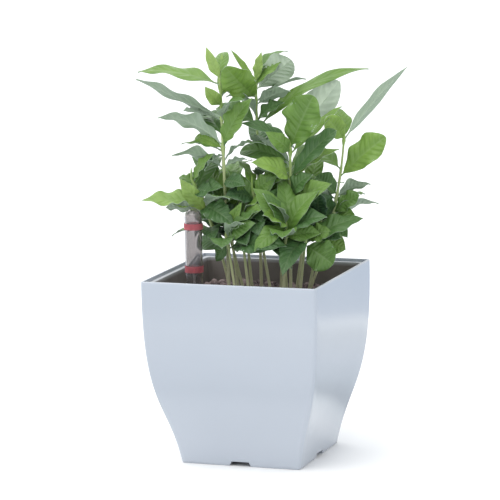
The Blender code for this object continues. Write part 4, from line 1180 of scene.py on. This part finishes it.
def add_leaf(shells, base, tip, width, turn, arch, tone, shape, random):
    """A thin solid blade on a stalk: folded at the midrib, quilted between its side veins, wavy at
    its margin, a little twisted, with its tip bent down."""
    length = (tip - base).length
    ahead, side, normal = blade_frame(base, tip, turn)
    twist = random.uniform(-15, 15)
    droop = random.uniform(0.0, 0.035) * length
    waves = random.uniform(1.8, 3.6)
    phases = random.uniform(0, math.tau, 2)
    ruffle = random.uniform(0.10, 0.24)
    fold = LEAF_FOLD + random.uniform(-0.05, 0.16)
    shade = min(max(tone + random.uniform(-0.12, 0.12), 0), 1)
    upper, lower, along, across = [], [], [], []
    for row in range(ALONG + 1):
        s = row / ALONG
        quilt = math.sin(math.pi * s * VEINS) ** 2
        for column in range(ACROSS + 1):
            v = 2 * column / ACROSS - 1
            v = math.copysign(abs(v) ** 1.2, v)
            edge = abs(v)
            u = s + VEIN_SWEEP * edge * 4 * s * (1 - s)
            share = leaf_width(shape, u)
            wave = math.sin(u * waves * math.tau + phases[0 if v < 0 else 1])
            half = share * width / 2 * (1 + 0.045 * wave - 0.02 * (1 - quilt))
            half = max(half, STALK_HALF_WIDTH if u < 0.97 else TIP_HALF_WIDTH)
            blade = min(share * 4, 1)
            turned_by = Matrix.Rotation(math.radians(twist * (u - 0.4)), 3, ahead)
            middle = midrib_point(base, tip, normal, arch, u)
            middle -= normal * (droop * max(u - 0.55, 0) ** 2 / 0.2)
            height = blade * (
                fold * half * (1.25 * edge - 0.35 * edge**3)
                + ruffle * half * wave * edge**2
                + 0.04 * width * quilt * edge * (1 - edge) * 4 * share
            )
            up = turned_by @ normal
            point = middle + turned_by @ side * (half * v) + up * height
            rib = math.exp(-((v * half / 0.9) ** 2)) * (1 - 0.75 * u)
            thick = BLADE_THICKNESS + STALK_THICKNESS * (1 - blade) * (1 - v * v)
            thick += RIB_THICKNESS * rib * blade
            upper.append(point + up * 0.1 * (1 - blade))
            lower.append(point - up * thick)
            along.append(s)
            across.append(v)
    faces, finishes = blade_faces(len(upper))
    shells.add(upper + lower, faces, finishes, along * 2, across * 2, [shade] * (2 * len(upper)))


def add_stem(shells, foot, crown, bend, joints, sides=12):
    """A stem that tapers, with a swelling at each leaf's joint and a pointed bud at its top."""
    points, faces, tone = [], [], []
    height = crown[2] - GROUND
    steps = int(height / 5)
    rows = [(GROUND - 6 + step / steps * (height + 6), 1.0) for step in range(steps + 1)]
    rows += [(crown[2] + 4, 1.15), (crown[2] + 9, 0.75), (crown[2] + 13, 0.12)]
    for z, scale in rows:
        share = max((z - GROUND) / height, 0)
        radius = (STEM_FOOT_RADIUS + min(share, 1) * (STEM_TOP_RADIUS - STEM_FOOT_RADIUS)) * scale
        radius += sum(0.45 * math.exp(-((z - joint) / 3) ** 2) for joint in joints)
        middle = stem_point(foot, crown, bend, min(z, crown[2])) + Vector((0, 0, max(z - crown[2], 0)))
        for p in round_ring(radius, 0, sides):
            points.append(middle + Vector(p))
            tone.append(min(share, 1))
    for row in range(len(rows) - 1):
        for i in range(sides):
            j = (i + 1) % sides
            faces.append((row * sides + i, row * sides + j, (row + 1) * sides + j, (row + 1) * sides + i))
    faces += [tuple(range(sides))[::-1], tuple(len(points) - sides + i for i in range(sides))]
    shells.add(points, faces, [2] * len(faces), [0.0] * len(points), [0.0] * len(points), tone)


def seedlings():
    random = np.random.default_rng(LEAF_SEED)
    finishes = leaf_upper_material(), leaf_lower_material(), stem_material()
    for name, leaves in place_leaves().items():
        shells = Shells()
        add_stem(shells, *SEEDLINGS[name][:3], [leaf[0].z for leaf in leaves])
        for leaf in leaves:
            add_leaf(shells, *leaf, random)
        plant = shells.object(name.replace("seedling", "plant"), *finishes)
        piece(plant, "grow_pot", "leaf_green", name)


# ---------------------------------------------------------------- the whole planter

make_camera()
make_stage()
outer_pot()
brown = plastic_material("fitting_brown_plastic", (0.07, 0.058, 0.054), 0.42, 700.0)
grow_pot(liner_material())
felt = felt_material()
for number in range(1, 5):
    wick_cup(number, brown)
    wick_core(number, felt)
soil_block(soil_material())
pebbles()
drain_plug()
sight_tube()
bands()
float_guide(brown)
float_and_pointer()
seedlings()
